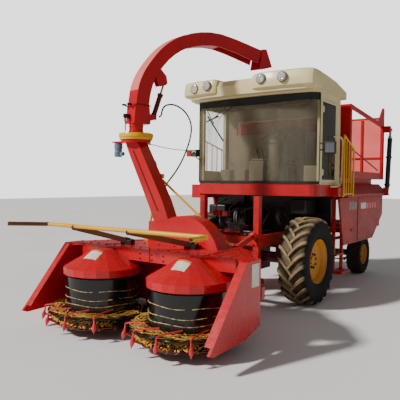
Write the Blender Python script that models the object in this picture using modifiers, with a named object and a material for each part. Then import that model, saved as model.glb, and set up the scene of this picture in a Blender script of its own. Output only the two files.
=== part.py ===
"""Self-propelled forage harvester with a two-drum row-independent header.

Run with: blender --background --python part.py
Metres, +Z up, the machine drives towards -Y and its left side is +X.
While it is built, the origin is on the ground under the middle of the front
axle; the last step moves the whole machine so that the origin is the bottom
centre of its bounding box.
"""
import math

import bmesh
import bpy
from mathutils import Matrix, Vector

# ---------------------------------------------------------------- clearances
SEAT = 0.0003          # gap between faces that rest on each other
RUN = 0.0006           # radial gap of a rod in its bore
PIN_FIT = 0.962        # a pin of twelve or more sides turns in a twelve-sided bore at this share of its radius
FREE = 0.006           # gap beside a piece that swings

# -------------------------------------------------------------------- wheels
FRONT_R = 0.632        # front tyre, 14.9-24 class
FRONT_W = 0.42
FRONT_BEAD_R = 0.325
FRONT_X = 0.87         # wheel centre from the machine's middle
REAR_R = 0.38
REAR_W = 0.26
REAR_BEAD_R = 0.20
REAR_X = 0.65
WHEELBASE = 3.05
RIM_WALL = 0.012
HUB_R = 0.11

# --------------------------------------------------------------------- frame
RAIL_X = 0.45
RAIL_W = 0.08
RAIL_Z = (0.86, 1.02)
RAIL_Y = (-0.80, WHEELBASE + 0.22)
POST = 0.085           # square posts under the cab
LINK_PIVOT_Y = -0.88   # chassis ends of the header's lifting links
LINK_LOW_Z = 0.66
LINK_HIGH_Z = 1.03
LINK_RUN = 0.72        # how far forward the links reach
LINK_DROP = 0.20       # and how far down
PIN_R = 0.025
EYE_R = 0.05

# ----------------------------------------------------------------------- cab
CAB_HALF = 1.04
CAB_FRONT = -0.15      # glass at the corners' inner ends
CAB_BOW = 0.07         # how much further the middle of the glass stands
CAB_CORNER = 0.16
CAB_REAR = 0.80
CAB_WALL = 0.05
BAND_Z = (1.57, 1.74)  # red band that carries the cab
ROOF_Z = 3.06
ROOF_H = 0.24
ROOF_OVER = 0.07
VISOR = 0.22
GLASS = 0.010
DOOR_Y = (0.03, 0.63)
DOOR_Z = (1.76, 2.98)

# ------------------------------------------------------- bin and engine bay
BAY_HALF = 1.15
COVER_T = 0.03
COVER_Z = (0.80, 1.523)
COVER_SPLIT_Y = 1.43
COVER_FRONT_Y = (0.52, 0.74)   # top, bottom of the front edge
COVER_REAR_Y = 2.86
BIN_HALF = 1.12
BIN_Y = (1.05, 3.00)
BIN_Z = (1.845, 3.03)
BIN_WALL = 0.03
BIN_HINGE_X = -1.06
BIN_HINGE_Z = 1.80
BED_TOP = 1.76
BED_LIP_Z = 1.54               # the covers hang below it
BAY_FRAMES_Y = (1.12, 2.02, 2.98)

# -------------------------------------------------------------------- ladder
LADDER_X = (0.985, 1.035)
LADDER_Y = (0.68, 1.04)
LADDER_Z = (0.37, 1.505)

# -------------------------------------------------------------------- header
HEADER_HALF = 1.344
PANEL_T = 0.03
DRUM_X = 0.6465
DRUM_Y = -2.608
DRUM_R = 0.43
DRUM_Z = (0.245, 0.64)
DISC_R = 0.645
DISC_Z = (0.228, 0.245)
CAP_R = 0.464
CAP_LIP_Z = (0.66, 0.74)
CAP_TOP_Z = 0.94
DECK_Z = (0.93, 0.965)
DECK_FRONT = -2.49
DECK_REAR = -1.51
HOUSING_C = (0.10, 0.80)       # x, z of the flywheel's axis
HOUSING_R = 0.54
HOUSING_Y = (-2.02, -1.78)

# --------------------------------------------------------------------- spout
SPOUT_X = -0.86
SPOUT_Y = -1.80
SPOUT_TURN = math.radians(12.6)    # its rest heading, from +Y towards +X
RING_R = 0.23
RING_Z = (2.31, 2.40)
NECK_R = 0.095
BASE_Z = (2.53, 2.775)
DUCT_W = 0.20
DUCT_D = 0.19
SPOUT_W = 0.20
SPOUT_WALL = 0.012

# ------------------------------------------------------------------- colours
RED = (0.62, 0.02, 0.03)
DARK_RED = (0.20, 0.01, 0.015)
YELLOW = (0.85, 0.60, 0.03)
RIM_YELLOW = (0.80, 0.45, 0.02)
CREAM = (0.80, 0.74, 0.50)
BLACK = (0.02, 0.02, 0.022)
BROWN = (0.25, 0.12, 0.04)
RUBBER = (0.03, 0.028, 0.025)
GREY = (0.30, 0.30, 0.30)
STEEL = (0.60, 0.60, 0.60)
TINT = (0.10, 0.12, 0.12)


# ================================================================== workshop
for old in list(bpy.data.objects):
    bpy.data.objects.remove(old, do_unlink=True)

MACHINE = bpy.data.collections.new("forage_harvester")
bpy.context.scene.collection.children.link(MACHINE)
ROOT = bpy.data.objects.new("machine_axis", None)
MACHINE.objects.link(ROOT)
PIVOTS = {"chassis": (ROOT, Vector((0, 0, 0)))}


def paint(name, colour, roughness=0.45, metallic=0.0, alpha=1.0):
    """A Principled material, made once for each name."""
    material = bpy.data.materials.get(name)
    if material:
        return material
    material = bpy.data.materials.new(name)
    material.use_nodes = True
    shader = material.node_tree.nodes["Principled BSDF"]
    shader.inputs["Base Color"].default_value = (*colour, 1.0)
    shader.inputs["Roughness"].default_value = roughness
    shader.inputs["Metallic"].default_value = metallic
    shader.inputs["Alpha"].default_value = alpha
    material.diffuse_color = (*colour, alpha)
    return material


def rough_piece(mesh):
    """A loose working object that later joins or cuts a part."""
    piece = bpy.data.objects.new("working", mesh)
    bpy.context.scene.collection.objects.link(piece)
    return piece


WELDS = (0.000001, 0.00001, 0.0, 0.00005)    # merge distances tried after a Boolean


def baked(piece, welds=(0.0001,)):
    """Replaces an object by the plain mesh that it evaluates to.

    Doubled points are merged at the first distance that leaves it closed."""
    bpy.context.view_layer.update()
    graph = bpy.context.evaluated_depsgraph_get()
    mesh = bpy.data.meshes.new_from_object(piece.evaluated_get(graph))
    mesh.transform(piece.matrix_world)
    bpy.data.objects.remove(piece, do_unlink=True)
    for weld in welds:
        form = bmesh.new()
        form.from_mesh(mesh)
        if weld:
            bmesh.ops.remove_doubles(form, verts=form.verts, dist=weld)
        closed = all(edge.is_manifold for edge in form.edges)
        if closed or weld == welds[-1]:
            bmesh.ops.recalc_face_normals(form, faces=form.faces)
            form.to_mesh(mesh)
        form.free()
        if closed:
            break
    return rough_piece(mesh)


def box(x, y, z):
    """A block between two limits along each axis."""
    form = bmesh.new()
    bmesh.ops.create_cube(form, size=1.0)
    size = Vector((x[1] - x[0], y[1] - y[0], z[1] - z[0]))
    middle = Vector((x[0] + x[1], y[0] + y[1], z[0] + z[1])) / 2
    bmesh.ops.scale(form, vec=size, verts=form.verts)
    bmesh.ops.translate(form, vec=middle, verts=form.verts)
    mesh = bpy.data.meshes.new("box")
    form.to_mesh(mesh)
    form.free()
    return rough_piece(mesh)


def both_sides(x, y, z):
    """The same block on the machine's left and right."""
    return [box(x, y, z), box((-x[1], -x[0]), y, z)]


def rod(start, end, radius, sides=12, end_radius=None):
    """A round bar, or a cone, between two points."""
    start, end = Vector(start), Vector(end)
    form = bmesh.new()
    bmesh.ops.create_cone(form, cap_ends=True, segments=sides, radius1=radius,
                          radius2=radius if end_radius is None else end_radius,
                          depth=(end - start).length)
    turn = (end - start).to_track_quat("Z", "Y").to_matrix().to_4x4()
    bmesh.ops.transform(form, matrix=Matrix.Translation((start + end) / 2) @ turn, verts=form.verts)
    mesh = bpy.data.meshes.new("rod")
    form.to_mesh(mesh)
    form.free()
    return rough_piece(mesh)


def pipe(points, radius, resolution=2):
    """A bent tube along straight runs, with filled ends."""
    curve = bpy.data.curves.new("pipe", "CURVE")
    curve.dimensions = "3D"
    curve.bevel_depth = radius
    curve.bevel_resolution = resolution
    curve.use_fill_caps = True
    spline = curve.splines.new("POLY")
    spline.points.add(len(points) - 1)
    for knot, place in zip(spline.points, points):
        knot.co = (*place, 1.0)
    return baked(rough_piece(curve))


# The three ways to stand a flat outline up: (first, second) outline axes and depth axis.
STAND = {
    "z": Matrix(((1, 0, 0, 0), (0, 1, 0, 0), (0, 0, 1, 0), (0, 0, 0, 1))),
    "x": Matrix(((0, 0, 1, 0), (1, 0, 0, 0), (0, 1, 0, 0), (0, 0, 0, 1))),
    "y": Matrix(((1, 0, 0, 0), (0, 0, -1, 0), (0, 1, 0, 0), (0, 0, 0, 1))),
}


def plate(outline, depth_axis, limits):
    """A flat outline with a thickness: "z" lays it down as (x, y), "x" stands
    it up as (y, z) and "y" as (x, z). The limits are along the depth axis."""
    curve = bpy.data.curves.new("plate", "CURVE")
    curve.dimensions = "2D"
    curve.fill_mode = "BOTH"
    curve.extrude = (limits[1] - limits[0]) / 2
    spline = curve.splines.new("POLY")
    spline.points.add(len(outline) - 1)
    for knot, (u, v) in zip(spline.points, outline):
        knot.co = (u, v, 0.0, 1.0)
    spline.use_cyclic_u = True
    piece = rough_piece(curve)
    middle = (limits[0] + limits[1]) / 2
    shift = {"z": (0, 0, middle), "x": (middle, 0, 0), "y": (0, middle, 0)}[depth_axis]
    piece.matrix_world = Matrix.Translation(shift) @ STAND[depth_axis]
    return baked(piece)


def turned(profile, steps, closed=True):
    """A profile of (radius, height) swept round the Z axis."""
    count = len(profile)
    edges = [(i, (i + 1) % count) for i in range(count if closed else count - 1)]
    mesh = bpy.data.meshes.new("turned")
    mesh.from_pydata([(radius, 0.0, height) for radius, height in profile], edges, [])
    piece = rough_piece(mesh)
    screw = piece.modifiers.new("sweep", "SCREW")
    screw.axis = "Z"
    screw.angle = math.tau
    screw.steps = screw.render_steps = steps
    screw.use_merge_vertices = True
    screw.merge_threshold = 0.00005
    return baked(piece)


def moved(piece, shift=(0, 0, 0), turn=0.0, axis="Z"):
    """Turns a working piece about the origin, then shifts it."""
    piece.data.transform(Matrix.Translation(Vector(shift)) @ Matrix.Rotation(turn, 4, axis))
    return piece


def mirrored(piece):
    """The piece's twin on the other side of the machine."""
    twin = rough_piece(piece.data.copy())
    twin.data.transform(Matrix.Scale(-1, 4, (1, 0, 0)))
    twin.data.flip_normals()
    return twin


def pair(piece):
    return [piece, mirrored(piece)]


def combine(base, others, operation):
    for other in others:
        step = base.modifiers.new("combine", "BOOLEAN")
        step.operation = operation
        step.object = other
        base = baked(base, WELDS)
        bpy.data.objects.remove(other, do_unlink=True)
    return base


def joined(*pieces):
    return combine(pieces[0], pieces[1:], "UNION")


def cut(piece, *cutters):
    return combine(piece, cutters, "DIFFERENCE")


def pivot(body, parent, place):
    """An empty on a moving body's joint axis; its parts hang from it."""
    holder, holder_place = PIVOTS[parent]
    empty = bpy.data.objects.new(body + "_axis", None)
    empty.empty_display_size = 0.1
    MACHINE.objects.link(empty)
    empty.parent = holder
    empty.location = Vector(place) - holder_place
    PIVOTS[body] = (empty, Vector(place))


def finished(name, piece, material, body="chassis", smooth=35.0):
    """Names a part, paints it and hangs it on its body's axis."""
    holder, place = PIVOTS[body]
    mesh = piece.data
    mesh.name = name
    form = bmesh.new()
    form.from_mesh(mesh)
    bmesh.ops.dissolve_limit(form, angle_limit=math.radians(0.1), verts=form.verts, edges=form.edges)
    bmesh.ops.triangulate(form, faces=form.faces)
    if all(edge.is_manifold for edge in form.edges):
        form.to_mesh(mesh)
    form.free()
    mesh.materials.clear()
    mesh.materials.append(material)
    mesh.shade_smooth()
    mesh.set_sharp_from_angle(angle=math.radians(smooth))
    mesh.transform(Matrix.Translation(-place))
    part = bpy.data.objects.new(name, mesh)
    MACHINE.objects.link(part)
    part.parent = holder
    bpy.data.objects.remove(piece, do_unlink=True)
    return part


def smooth_line(knots, steps=4):
    """Points of a Catmull-Rom curve through the knots."""
    line = []
    ends = [knots[0]] + list(knots) + [knots[-1]]
    for a, b, c, d in zip(ends, ends[1:], ends[2:], ends[3:]):
        for step in range(steps):
            t = step / steps
            line.append(tuple(
                0.5 * (2 * q + (r - p) * t + (2 * p - 5 * q + 4 * r - s) * t * t
                       + (3 * q - p - 3 * r + s) * t ** 3)
                for p, q, r, s in zip(a, b, c, d)))
    line.append(tuple(knots[-1]))
    return line


def arc(centre, radius, start, end, steps):
    """Points on a circle, angles in degrees."""
    angles = [math.radians(start + (end - start) * i / steps) for i in range(steps + 1)]
    return [(centre[0] + radius * math.cos(a), centre[1] + radius * math.sin(a)) for a in angles]


def at(pair_of_limits, share):
    """A value between two limits."""
    return pair_of_limits[0] + (pair_of_limits[1] - pair_of_limits[0]) * share


SIDES = (("left", 1), ("right", -1))
red_paint = paint("red_paint", RED)
dark_red_paint = paint("dark_red_paint", DARK_RED)
yellow_paint = paint("yellow_paint", YELLOW)
rim_paint = paint("rim_paint", RIM_YELLOW)
cream_paint = paint("cream_paint", CREAM)
black_paint = paint("black_paint", BLACK)
brown_paint = paint("brown_paint", BROWN)
tyre_rubber = paint("tyre_rubber", RUBBER, 0.9)
grey_iron = paint("grey_iron", GREY, 0.6, 0.3)
bright_steel = paint("bright_steel", STEEL, 0.25, 1.0)
tinted_glass = paint("tinted_glass", TINT, 0.05, 0.0, 0.35)
seat_fabric = paint("seat_fabric", (0.12, 0.12, 0.13), 0.9)
grey_plastic = paint("grey_plastic", (0.35, 0.33, 0.28), 0.6)


# ==================================================================== joints
# The lifting links form a parallelogram, so the header stays level.
LINK_LENGTH = math.hypot(LINK_RUN, LINK_DROP)
LINK_END_Y = LINK_PIVOT_Y - LINK_RUN
HEADER_LOW_Z = LINK_LOW_Z - LINK_DROP
HEADER_HIGH_Z = LINK_HIGH_Z - LINK_DROP
SPOUT_AHEAD = Vector((math.sin(SPOUT_TURN), math.cos(SPOUT_TURN), 0))
SPOUT_SIDE = Vector((math.cos(SPOUT_TURN), -math.sin(SPOUT_TURN), 0))


def on_spout(along, height, aside=0.0):
    """A point given along the spout's plane, up, and to its side."""
    flat = Vector((SPOUT_X, SPOUT_Y, 0)) + SPOUT_AHEAD * along + SPOUT_SIDE * aside
    return Vector((flat.x, flat.y, height))


SPOUT_FOOT_Z = BASE_Z[1] + SEAT
TILT_HINGE = (-0.07, SPOUT_FOOT_Z)    # along, height
TILT_BASE = (0.28, 2.64)         # the cylinder's foot
TILT_EYE = (0.47, 3.14)          # and its rod's eye
PILLAR_Y = 0.0                   # rear edge of the wrapped windscreen
HOSE_R = 0.012
HOSE_ASIDE = 0.050
HOSE_END = (-0.50, 1.69)         # across, height on the duct's rear face
HOSE_STEP = 0.045
HOSE_EXIT = (0.352, 2.655)
HOSE_LOOP = [(0.372, 2.662), (0.392, 2.69), (0.400, 2.74), (0.425, 2.79), (0.475, 2.83), (0.58, 2.852), (0.71, 2.832),
             (0.84, 2.76), (0.925, 2.65), (0.950, 2.53), (0.925, 2.39), (0.865, 2.235), (0.775, 2.065), (0.66, 1.905)]
CABLE_R = 0.006
CABLE_STEP = 0.030
CABLE_SAG = 0.025
CABLE_END = Vector((-CAB_HALF - 0.02, PILLAR_Y + 0.035, 2.30))
FLAP_R = 0.012
SPOUT_END = (2.44, 3.945)
FLAP_HINGE = (SPOUT_END[0] + FLAP_R + SEAT, SPOUT_END[1])
LIFT_FOOT = (-0.72, 0.37)        # y, z of the lift cylinders' foot
LIFT_EYE_ALONG = 0.55            # how far along the lower link the rods act
LIFT_EYE_BELOW = 0.06
LIFT_X = 0.30
LIFT_SHAFT_OVER = 0.06
TIP_FOOT = (1.16, 3.12, 1.66)    # foot of the bin's cylinder
TIP_EYE = (1.20, 3.12, 2.80)
KINGPIN_X = 0.47
TIE_Y = WHEELBASE - 0.17         # the tie rod runs in front of the axle
DOOR_HINGE_R = 0.014
DOOR_HINGE = (CAB_HALF + DOOR_HINGE_R + SEAT, DOOR_Y[0] - 0.004, DOOR_Z[0])
COVER_HINGE_R = 0.010
COVER_HINGE_Z = BED_LIP_Z - COVER_HINGE_R - SEAT

GATE_HINGE_R = 0.014
GATE_HINGE = (-BIN_HALF - GATE_HINGE_R - SEAT, BIN_Y[0], BIN_Z[1] - 0.03)

link_along = Vector((0, -LINK_RUN, -LINK_DROP)) / LINK_LENGTH
link_below = Vector((0, LINK_DROP, -LINK_RUN)) / LINK_LENGTH
LIFT_EYE = (Vector((0, LINK_PIVOT_Y, LINK_LOW_Z)) + link_along * LIFT_EYE_ALONG
            + link_below * LIFT_EYE_BELOW)

for side, sign in SIDES:
    pivot("front_wheel_" + side, "chassis", (sign * FRONT_X, 0, FRONT_R))
    pivot("rear_knuckle_" + side, "chassis", (sign * KINGPIN_X, WHEELBASE, REAR_R))
    pivot("rear_wheel_" + side, "rear_knuckle_" + side, (sign * REAR_X, WHEELBASE, REAR_R))
    for place, y in (("front", 1.0), ("rear", 2.0)):
        pivot("side_cover_%s_%s" % (place, side), "chassis", (sign * BAY_HALF, y, COVER_HINGE_Z))
pivot("tie_rod", "rear_knuckle_left", (KINGPIN_X, TIE_Y, REAR_R))
pivot("cab_door", "chassis", DOOR_HINGE)
pivot("lower_links", "chassis", (0, LINK_PIVOT_Y, LINK_LOW_Z))
pivot("upper_links", "chassis", (0, LINK_PIVOT_Y, LINK_HIGH_Z))
pivot("lift_barrels", "chassis", (0, *LIFT_FOOT))
pivot("lift_rods", "lift_barrels", LIFT_EYE)
pivot("header", "lower_links", (0, LINK_END_Y, HEADER_LOW_Z))
for side, sign in SIDES:
    pivot("drum_" + side, "header", (sign * DRUM_X, DRUM_Y, DRUM_Z[0]))
pivot("spout_base", "header", (SPOUT_X, SPOUT_Y, RING_Z[0]))
pivot("spout", "spout_base", on_spout(*TILT_HINGE))
pivot("deflector", "spout", on_spout(*FLAP_HINGE))
pivot("tilt_barrel", "spout_base", on_spout(*TILT_BASE))
pivot("tilt_rod", "tilt_barrel", on_spout(*TILT_EYE))
pivot("bin", "chassis", (BIN_HINGE_X, BIN_Y[0], BIN_HINGE_Z))
pivot("bin_gate", "bin", GATE_HINGE)
pivot("tip_barrel", "chassis", TIP_FOOT)
pivot("tip_stage", "tip_barrel", TIP_FOOT)
pivot("tip_rod", "tip_stage", TIP_EYE)


# ==================================================================== wheels
def wheel(tyre_name, rim_name, body, radius, width, bead_r, centre, sign, stub_x, steps):
    """A tyre on a dished rim whose hub reaches inwards to the axle's face.

    The profile's heights run outwards from the middle of the wheel."""
    half = width / 2
    bead_half = half * 0.80
    tread = [(bead_r * 1.06, -bead_half), (bead_r, -bead_half), (bead_r, bead_half), (bead_r * 1.06, bead_half),
             (bead_r + (radius - bead_r) * 0.45, half),
             (radius - 0.06 * radius, half * 0.97),
             (radius, half * 0.80), (radius, -half * 0.80),
             (radius - 0.06 * radius, -half * 0.97),
             (bead_r + (radius - bead_r) * 0.45, -half)]
    tyre = moved(moved(turned(tread, steps), turn=sign * math.pi / 2, axis="Y"), centre)
    finished(tyre_name, tyre, tyre_rubber, body)
    well = bead_r - SEAT
    lip = bead_half + SEAT
    dish = half * 0.20
    hub_in = stub_x - abs(centre[0])
    edge = lip + RIM_WALL
    hub_r = HUB_R * bead_r / FRONT_BEAD_R
    profile = [(well, edge), (well, -edge), (well - RIM_WALL, -edge), (well - RIM_WALL, dish - RIM_WALL),
               (hub_r, dish - RIM_WALL), (hub_r, hub_in), (0, hub_in), (0, dish + 0.05),
               (0.8 * hub_r, dish + 0.05), (0.8 * hub_r, dish), (well - RIM_WALL, dish), (well - RIM_WALL, edge)]
    rim = moved(moved(turned(profile, steps), turn=sign * math.pi / 2, axis="Y"), centre)
    finished(rim_name, rim, rim_paint, body)


FRONT_STUB = 0.70      # outer faces of the axle ends that the hubs run on
REAR_STUB = 0.535
for side, sign in SIDES:
    wheel("front_tyre_" + side, "front_rim_" + side, "front_wheel_" + side, FRONT_R, FRONT_W,
          FRONT_BEAD_R, (sign * FRONT_X, 0, FRONT_R), sign, FRONT_STUB, 24)
    wheel("rear_tyre_" + side, "rear_rim_" + side, "rear_wheel_" + side, REAR_R, REAR_W,
          REAR_BEAD_R, (sign * REAR_X, WHEELBASE, REAR_R), sign, REAR_STUB, 20)


# ================================================================ front axle
def front_axle():
    """Transaxle: gearbox in the middle, tubes, and a reduction case at each end."""
    z = FRONT_R
    end = FRONT_STUB - SEAT
    pieces = [box((-0.17, 0.17), (-0.20, 0.20), (z - 0.19, z + 0.17)),
              rod((-end, 0, z), (end, 0, z), 0.085, 16)]
    for sign in (1, -1):
        pieces.append(rod((sign * 0.54, 0, z), (sign * (end - 0.03), 0, z), 0.17, 20))
    pieces += both_sides((RAIL_X - 0.04, RAIL_X + 0.04), (-0.11, 0.11), (z, RAIL_Z[0] - SEAT))
    return joined(*pieces)


finished("front_axle", front_axle(), dark_red_paint)


# ================================================================= rear axle
BEAM_Z = (0.335, 0.445)
YOKE_T = 0.03


def rear_axle():
    """Beam with a boss at each end for its knuckle, on a pivot bracket."""
    boss_r = 0.035
    pieces = [box((-KINGPIN_X + 0.05, KINGPIN_X - 0.05), (WHEELBASE - 0.055, WHEELBASE + 0.055), BEAM_Z),
              box((-0.14, 0.14), (WHEELBASE - 0.09, WHEELBASE + 0.09), (BEAM_Z[1] - 0.02, 0.60)),
              box((-0.06, 0.06), (WHEELBASE - 0.09, WHEELBASE + 0.09), (0.59, RAIL_Z[0] + 0.02 - SEAT))]
    for sign in (1, -1):
        kingpin = (sign * KINGPIN_X, WHEELBASE)
        pieces.append(rod((*kingpin, BEAM_Z[0]), (*kingpin, BEAM_Z[1]), boss_r, 16))
        pieces.append(box(sorted((sign * 0.40, sign * KINGPIN_X)),
                          (WHEELBASE - 0.022, WHEELBASE + 0.022), (BEAM_Z[0] + 0.004, BEAM_Z[1] - 0.004)))
    return joined(*pieces)


finished("rear_axle", rear_axle(), black_paint)

ARM_EYE_X = KINGPIN_X - 0.03
ARM_Z = (0.285, 0.31)


def knuckle(sign):
    """Yoke round the beam's boss, with the wheel stub and the steering arm."""
    x = sign * KINGPIN_X
    low = (BEAM_Z[0] - SEAT - YOKE_T, BEAM_Z[0] - SEAT)
    high = (BEAM_Z[1] + SEAT, BEAM_Z[1] + SEAT + YOKE_T)
    plate_x = sorted((sign * (KINGPIN_X + 0.041), sign * (REAR_STUB - SEAT)))
    pieces = [box(plate_x, (WHEELBASE - 0.045, WHEELBASE + 0.045), (low[0], high[1]))]
    for z in (low, high):
        pieces.append(rod((x, WHEELBASE, z[0]), (x, WHEELBASE, z[1]), 0.045, 16))
        pieces.append(box(sorted((x, sign * (KINGPIN_X + 0.05))), (WHEELBASE - 0.04, WHEELBASE + 0.04), z))
    eye = (sign * ARM_EYE_X, TIE_Y)
    pieces.append(rod((*eye, ARM_Z[0]), (*eye, ARM_Z[1]), 0.028, 12))
    pieces.append(box((min(x, eye[0]) - 0.005, max(x, eye[0]) + 0.005), (TIE_Y, WHEELBASE - 0.01), ARM_Z))
    return joined(*pieces)


for side, sign in SIDES:
    finished("rear_knuckle_" + side, knuckle(sign), black_paint, "rear_knuckle_" + side)


def tie_rod():
    """Links the two steering arms; its right eye is the open pivot."""
    top = ARM_Z[0] - SEAT
    pieces = [pipe([(-ARM_EYE_X, TIE_Y, top - 0.016), (ARM_EYE_X, TIE_Y, top - 0.016)], 0.013)]
    for sign in (1, -1):
        eye = (sign * ARM_EYE_X, TIE_Y)
        pieces.append(rod((*eye, top - 0.032), (*eye, top), 0.024, 12))
    return joined(*pieces)


finished("tie_rod", tie_rod(), grey_iron, "tie_rod")


# ============================================================= chassis frame
def chassis_frame():
    """Two rails with cross members, the cab's posts, the header's link
    brackets, and the outriggers that carry the bay and the bin."""
    rails = both_sides((RAIL_X - RAIL_W / 2, RAIL_X + RAIL_W / 2), RAIL_Y, RAIL_Z)
    inside = (-RAIL_X, RAIL_X)
    cross_z = (RAIL_Z[0] + 0.02, RAIL_Z[1] - 0.02)
    pieces = rails + [box(inside, (y - 0.05, y + 0.05), cross_z)
                      for y in (RAIL_Y[0] + 0.05, 0.90, 1.95, WHEELBASE, RAIL_Y[1] - 0.05)]
    post_x = (RAIL_X - POST / 2, RAIL_X + POST / 2)
    for y in (RAIL_Y[0], CAB_REAR - POST):
        pieces += both_sides(post_x, (y, y + POST), (RAIL_Z[1] - 0.02, BAND_Z[0] - SEAT))
    # the brackets that hold the lower links and the lift cylinders' feet
    pieces += both_sides(post_x, (RAIL_Y[0], RAIL_Y[0] + 0.07),
                         (LIFT_FOOT[1] - 0.02, RAIL_Z[0] + 0.02))
    pieces.append(box(inside, (LIFT_FOOT[0] + 0.065, LIFT_FOOT[0] + 0.125),
                      (LIFT_FOOT[1] - 0.04, LIFT_FOOT[1] + 0.04)))
    pieces += both_sides((RAIL_X - 0.03, RAIL_X + 0.03), (RAIL_Y[0] + 0.05, LIFT_FOOT[0] + 0.12),
                         (LIFT_FOOT[1] - 0.04, LIFT_FOOT[1] + 0.04))
    lug_x = LIFT_X + LIFT_SHAFT_OVER + SEAT
    pieces += both_sides((lug_x, lug_x + 0.018), (LIFT_FOOT[0] - 0.035, LIFT_FOOT[0] + 0.10),
                         (LIFT_FOOT[1] - 0.037, LIFT_FOOT[1] + 0.037))
    for z in (LINK_LOW_Z, LINK_HIGH_Z):
        for x in (RAIL_X - 0.055, RAIL_X + 0.035):
            pieces += both_sides((x, x + 0.02), (LINK_PIVOT_Y - 0.03, RAIL_Y[0] + 0.06), (z - 0.03, z + 0.03))
        pieces += pair(rod((RAIL_X - 0.06, LINK_PIVOT_Y, z), (RAIL_X + 0.06, LINK_PIVOT_Y, z), PIN_R * PIN_FIT, 16))
    # outriggers under the cab's sides and the bay's four posts
    for y in BAY_FRAMES_Y:
        pieces.append(box((-1.06, 1.06), (y - 0.03, y + 0.03), (RAIL_Z[1] - 0.06, RAIL_Z[1] + 0.02)))
        pieces += both_sides((1.00, 1.06), (y - 0.03, y + 0.03), (RAIL_Z[1] - 0.02, 1.56))
        pieces.append(box((-1.06, 1.06), (y - 0.03, y + 0.03), (1.50, 1.56)))
    pieces += both_sides((1.005, 1.055), (0.62, BIN_Y[1]), (LADDER_Z[1], 1.555))
    pieces.append(box((-0.10, 0.10), (RAIL_Y[1] - 0.02, RAIL_Y[1] + 0.10), (RAIL_Z[0] - 0.02, RAIL_Z[1] - 0.02)))
    return joined(*pieces)


finished("chassis_frame", chassis_frame(), red_paint)


def lower_or_upper_link(pivot_z, end_z, with_lugs):
    """A left and a right link, joined by a cross tube, with bored eyes."""
    pieces = []
    for sign in (1, -1):
        x = sign * RAIL_X
        start = Vector((x, LINK_PIVOT_Y, pivot_z))
        end = Vector((x, LINK_END_Y, end_z))
        bar = box((-0.02, 0.02), (-LINK_LENGTH / 2, LINK_LENGTH / 2), (-0.035, 0.035))
        slope = math.atan2(pivot_z - end_z, LINK_RUN)
        bar = moved(moved(bar, turn=slope, axis="X"), (start + end) / 2)
        pieces.append(bar)
        for eye in (start, end):
            pieces.append(rod(eye - Vector((0.028, 0, 0)), eye + Vector((0.028, 0, 0)), EYE_R, 16))
    middle_y = LINK_PIVOT_Y - LINK_RUN * 0.5
    middle_z = (pivot_z + end_z) / 2
    pieces.append(rod((-RAIL_X, middle_y, middle_z), (RAIL_X, middle_y, middle_z), 0.028, 12))
    if with_lugs:
        for sign in (1, -1):
            for x in (sign * (LIFT_X + 0.045),):
                lug = rod((x - 0.008, LIFT_EYE.y, LIFT_EYE.z), (x + 0.008, LIFT_EYE.y, LIFT_EYE.z), 0.035, 12)
                pieces.append(lug)
                start = LIFT_EYE - link_below * LIFT_EYE_BELOW
                pieces.append(box((x - 0.008, x + 0.008), (start.y - 0.03, start.y + 0.03),
                                  (LIFT_EYE.z, start.z + 0.01)))
        start = LIFT_EYE - link_below * LIFT_EYE_BELOW
        pieces.append(rod((-RAIL_X, start.y, start.z + 0.012), (RAIL_X, start.y, start.z + 0.012), 0.02, 12))
    link = joined(*pieces)
    bores = [rod((sign * RAIL_X - 0.04, y, z), (sign * RAIL_X + 0.04, y, z), PIN_R, 12)
             for sign in (1, -1) for y, z in ((LINK_PIVOT_Y, pivot_z), (LINK_END_Y, end_z))]
    return cut(link, *bores)


finished("lower_links", lower_or_upper_link(LINK_LOW_Z, HEADER_LOW_Z, True), red_paint, "lower_links")
finished("upper_links", lower_or_upper_link(LINK_HIGH_Z, HEADER_HIGH_Z, False), red_paint, "upper_links")

BARREL_R = 0.042
BARREL_BORE = 0.022


def lift_barrels():
    """Two barrels on one cross shaft, bored for their rods."""
    foot = Vector((0, *LIFT_FOOT))
    along = (LIFT_EYE - foot).normalized()
    reach = (LIFT_EYE - foot).length
    shaft = LIFT_X + LIFT_SHAFT_OVER
    pieces = [rod((-shaft, *LIFT_FOOT), (shaft, *LIFT_FOOT), 0.022, 12)]
    bores = []
    for sign in (1, -1):
        base = foot + Vector((sign * LIFT_X, 0, 0))
        pieces.append(rod(base - Vector((0.03, 0, 0)), base + Vector((0.03, 0, 0)), 0.04, 12))
        pieces.append(rod(base, base + along * (reach - 0.12), BARREL_R, 16))
        bores.append(rod(base + along * 0.05, base + along * reach, BARREL_BORE, 16))
    return cut(joined(*pieces), *bores)


def lift_rods():
    """Two rods joined by the shaft through their eyes."""
    foot = Vector((0, *LIFT_FOOT))
    along = (LIFT_EYE - foot).normalized()
    pieces = [rod((-LIFT_X - 0.032, LIFT_EYE.y, LIFT_EYE.z), (LIFT_X + 0.032, LIFT_EYE.y, LIFT_EYE.z), 0.012, 12)]
    for sign in (1, -1):
        aside = Vector((sign * LIFT_X, 0, 0))
        pieces.append(rod(foot + aside + along * 0.07, LIFT_EYE + aside, BARREL_BORE - RUN, 16))
        pieces.append(rod(LIFT_EYE + aside - Vector((0.02, 0, 0)), LIFT_EYE + aside + Vector((0.02, 0, 0)), 0.03, 12))
    return joined(*pieces)


finished("lift_barrels", lift_barrels(), black_paint, "lift_barrels")


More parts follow.
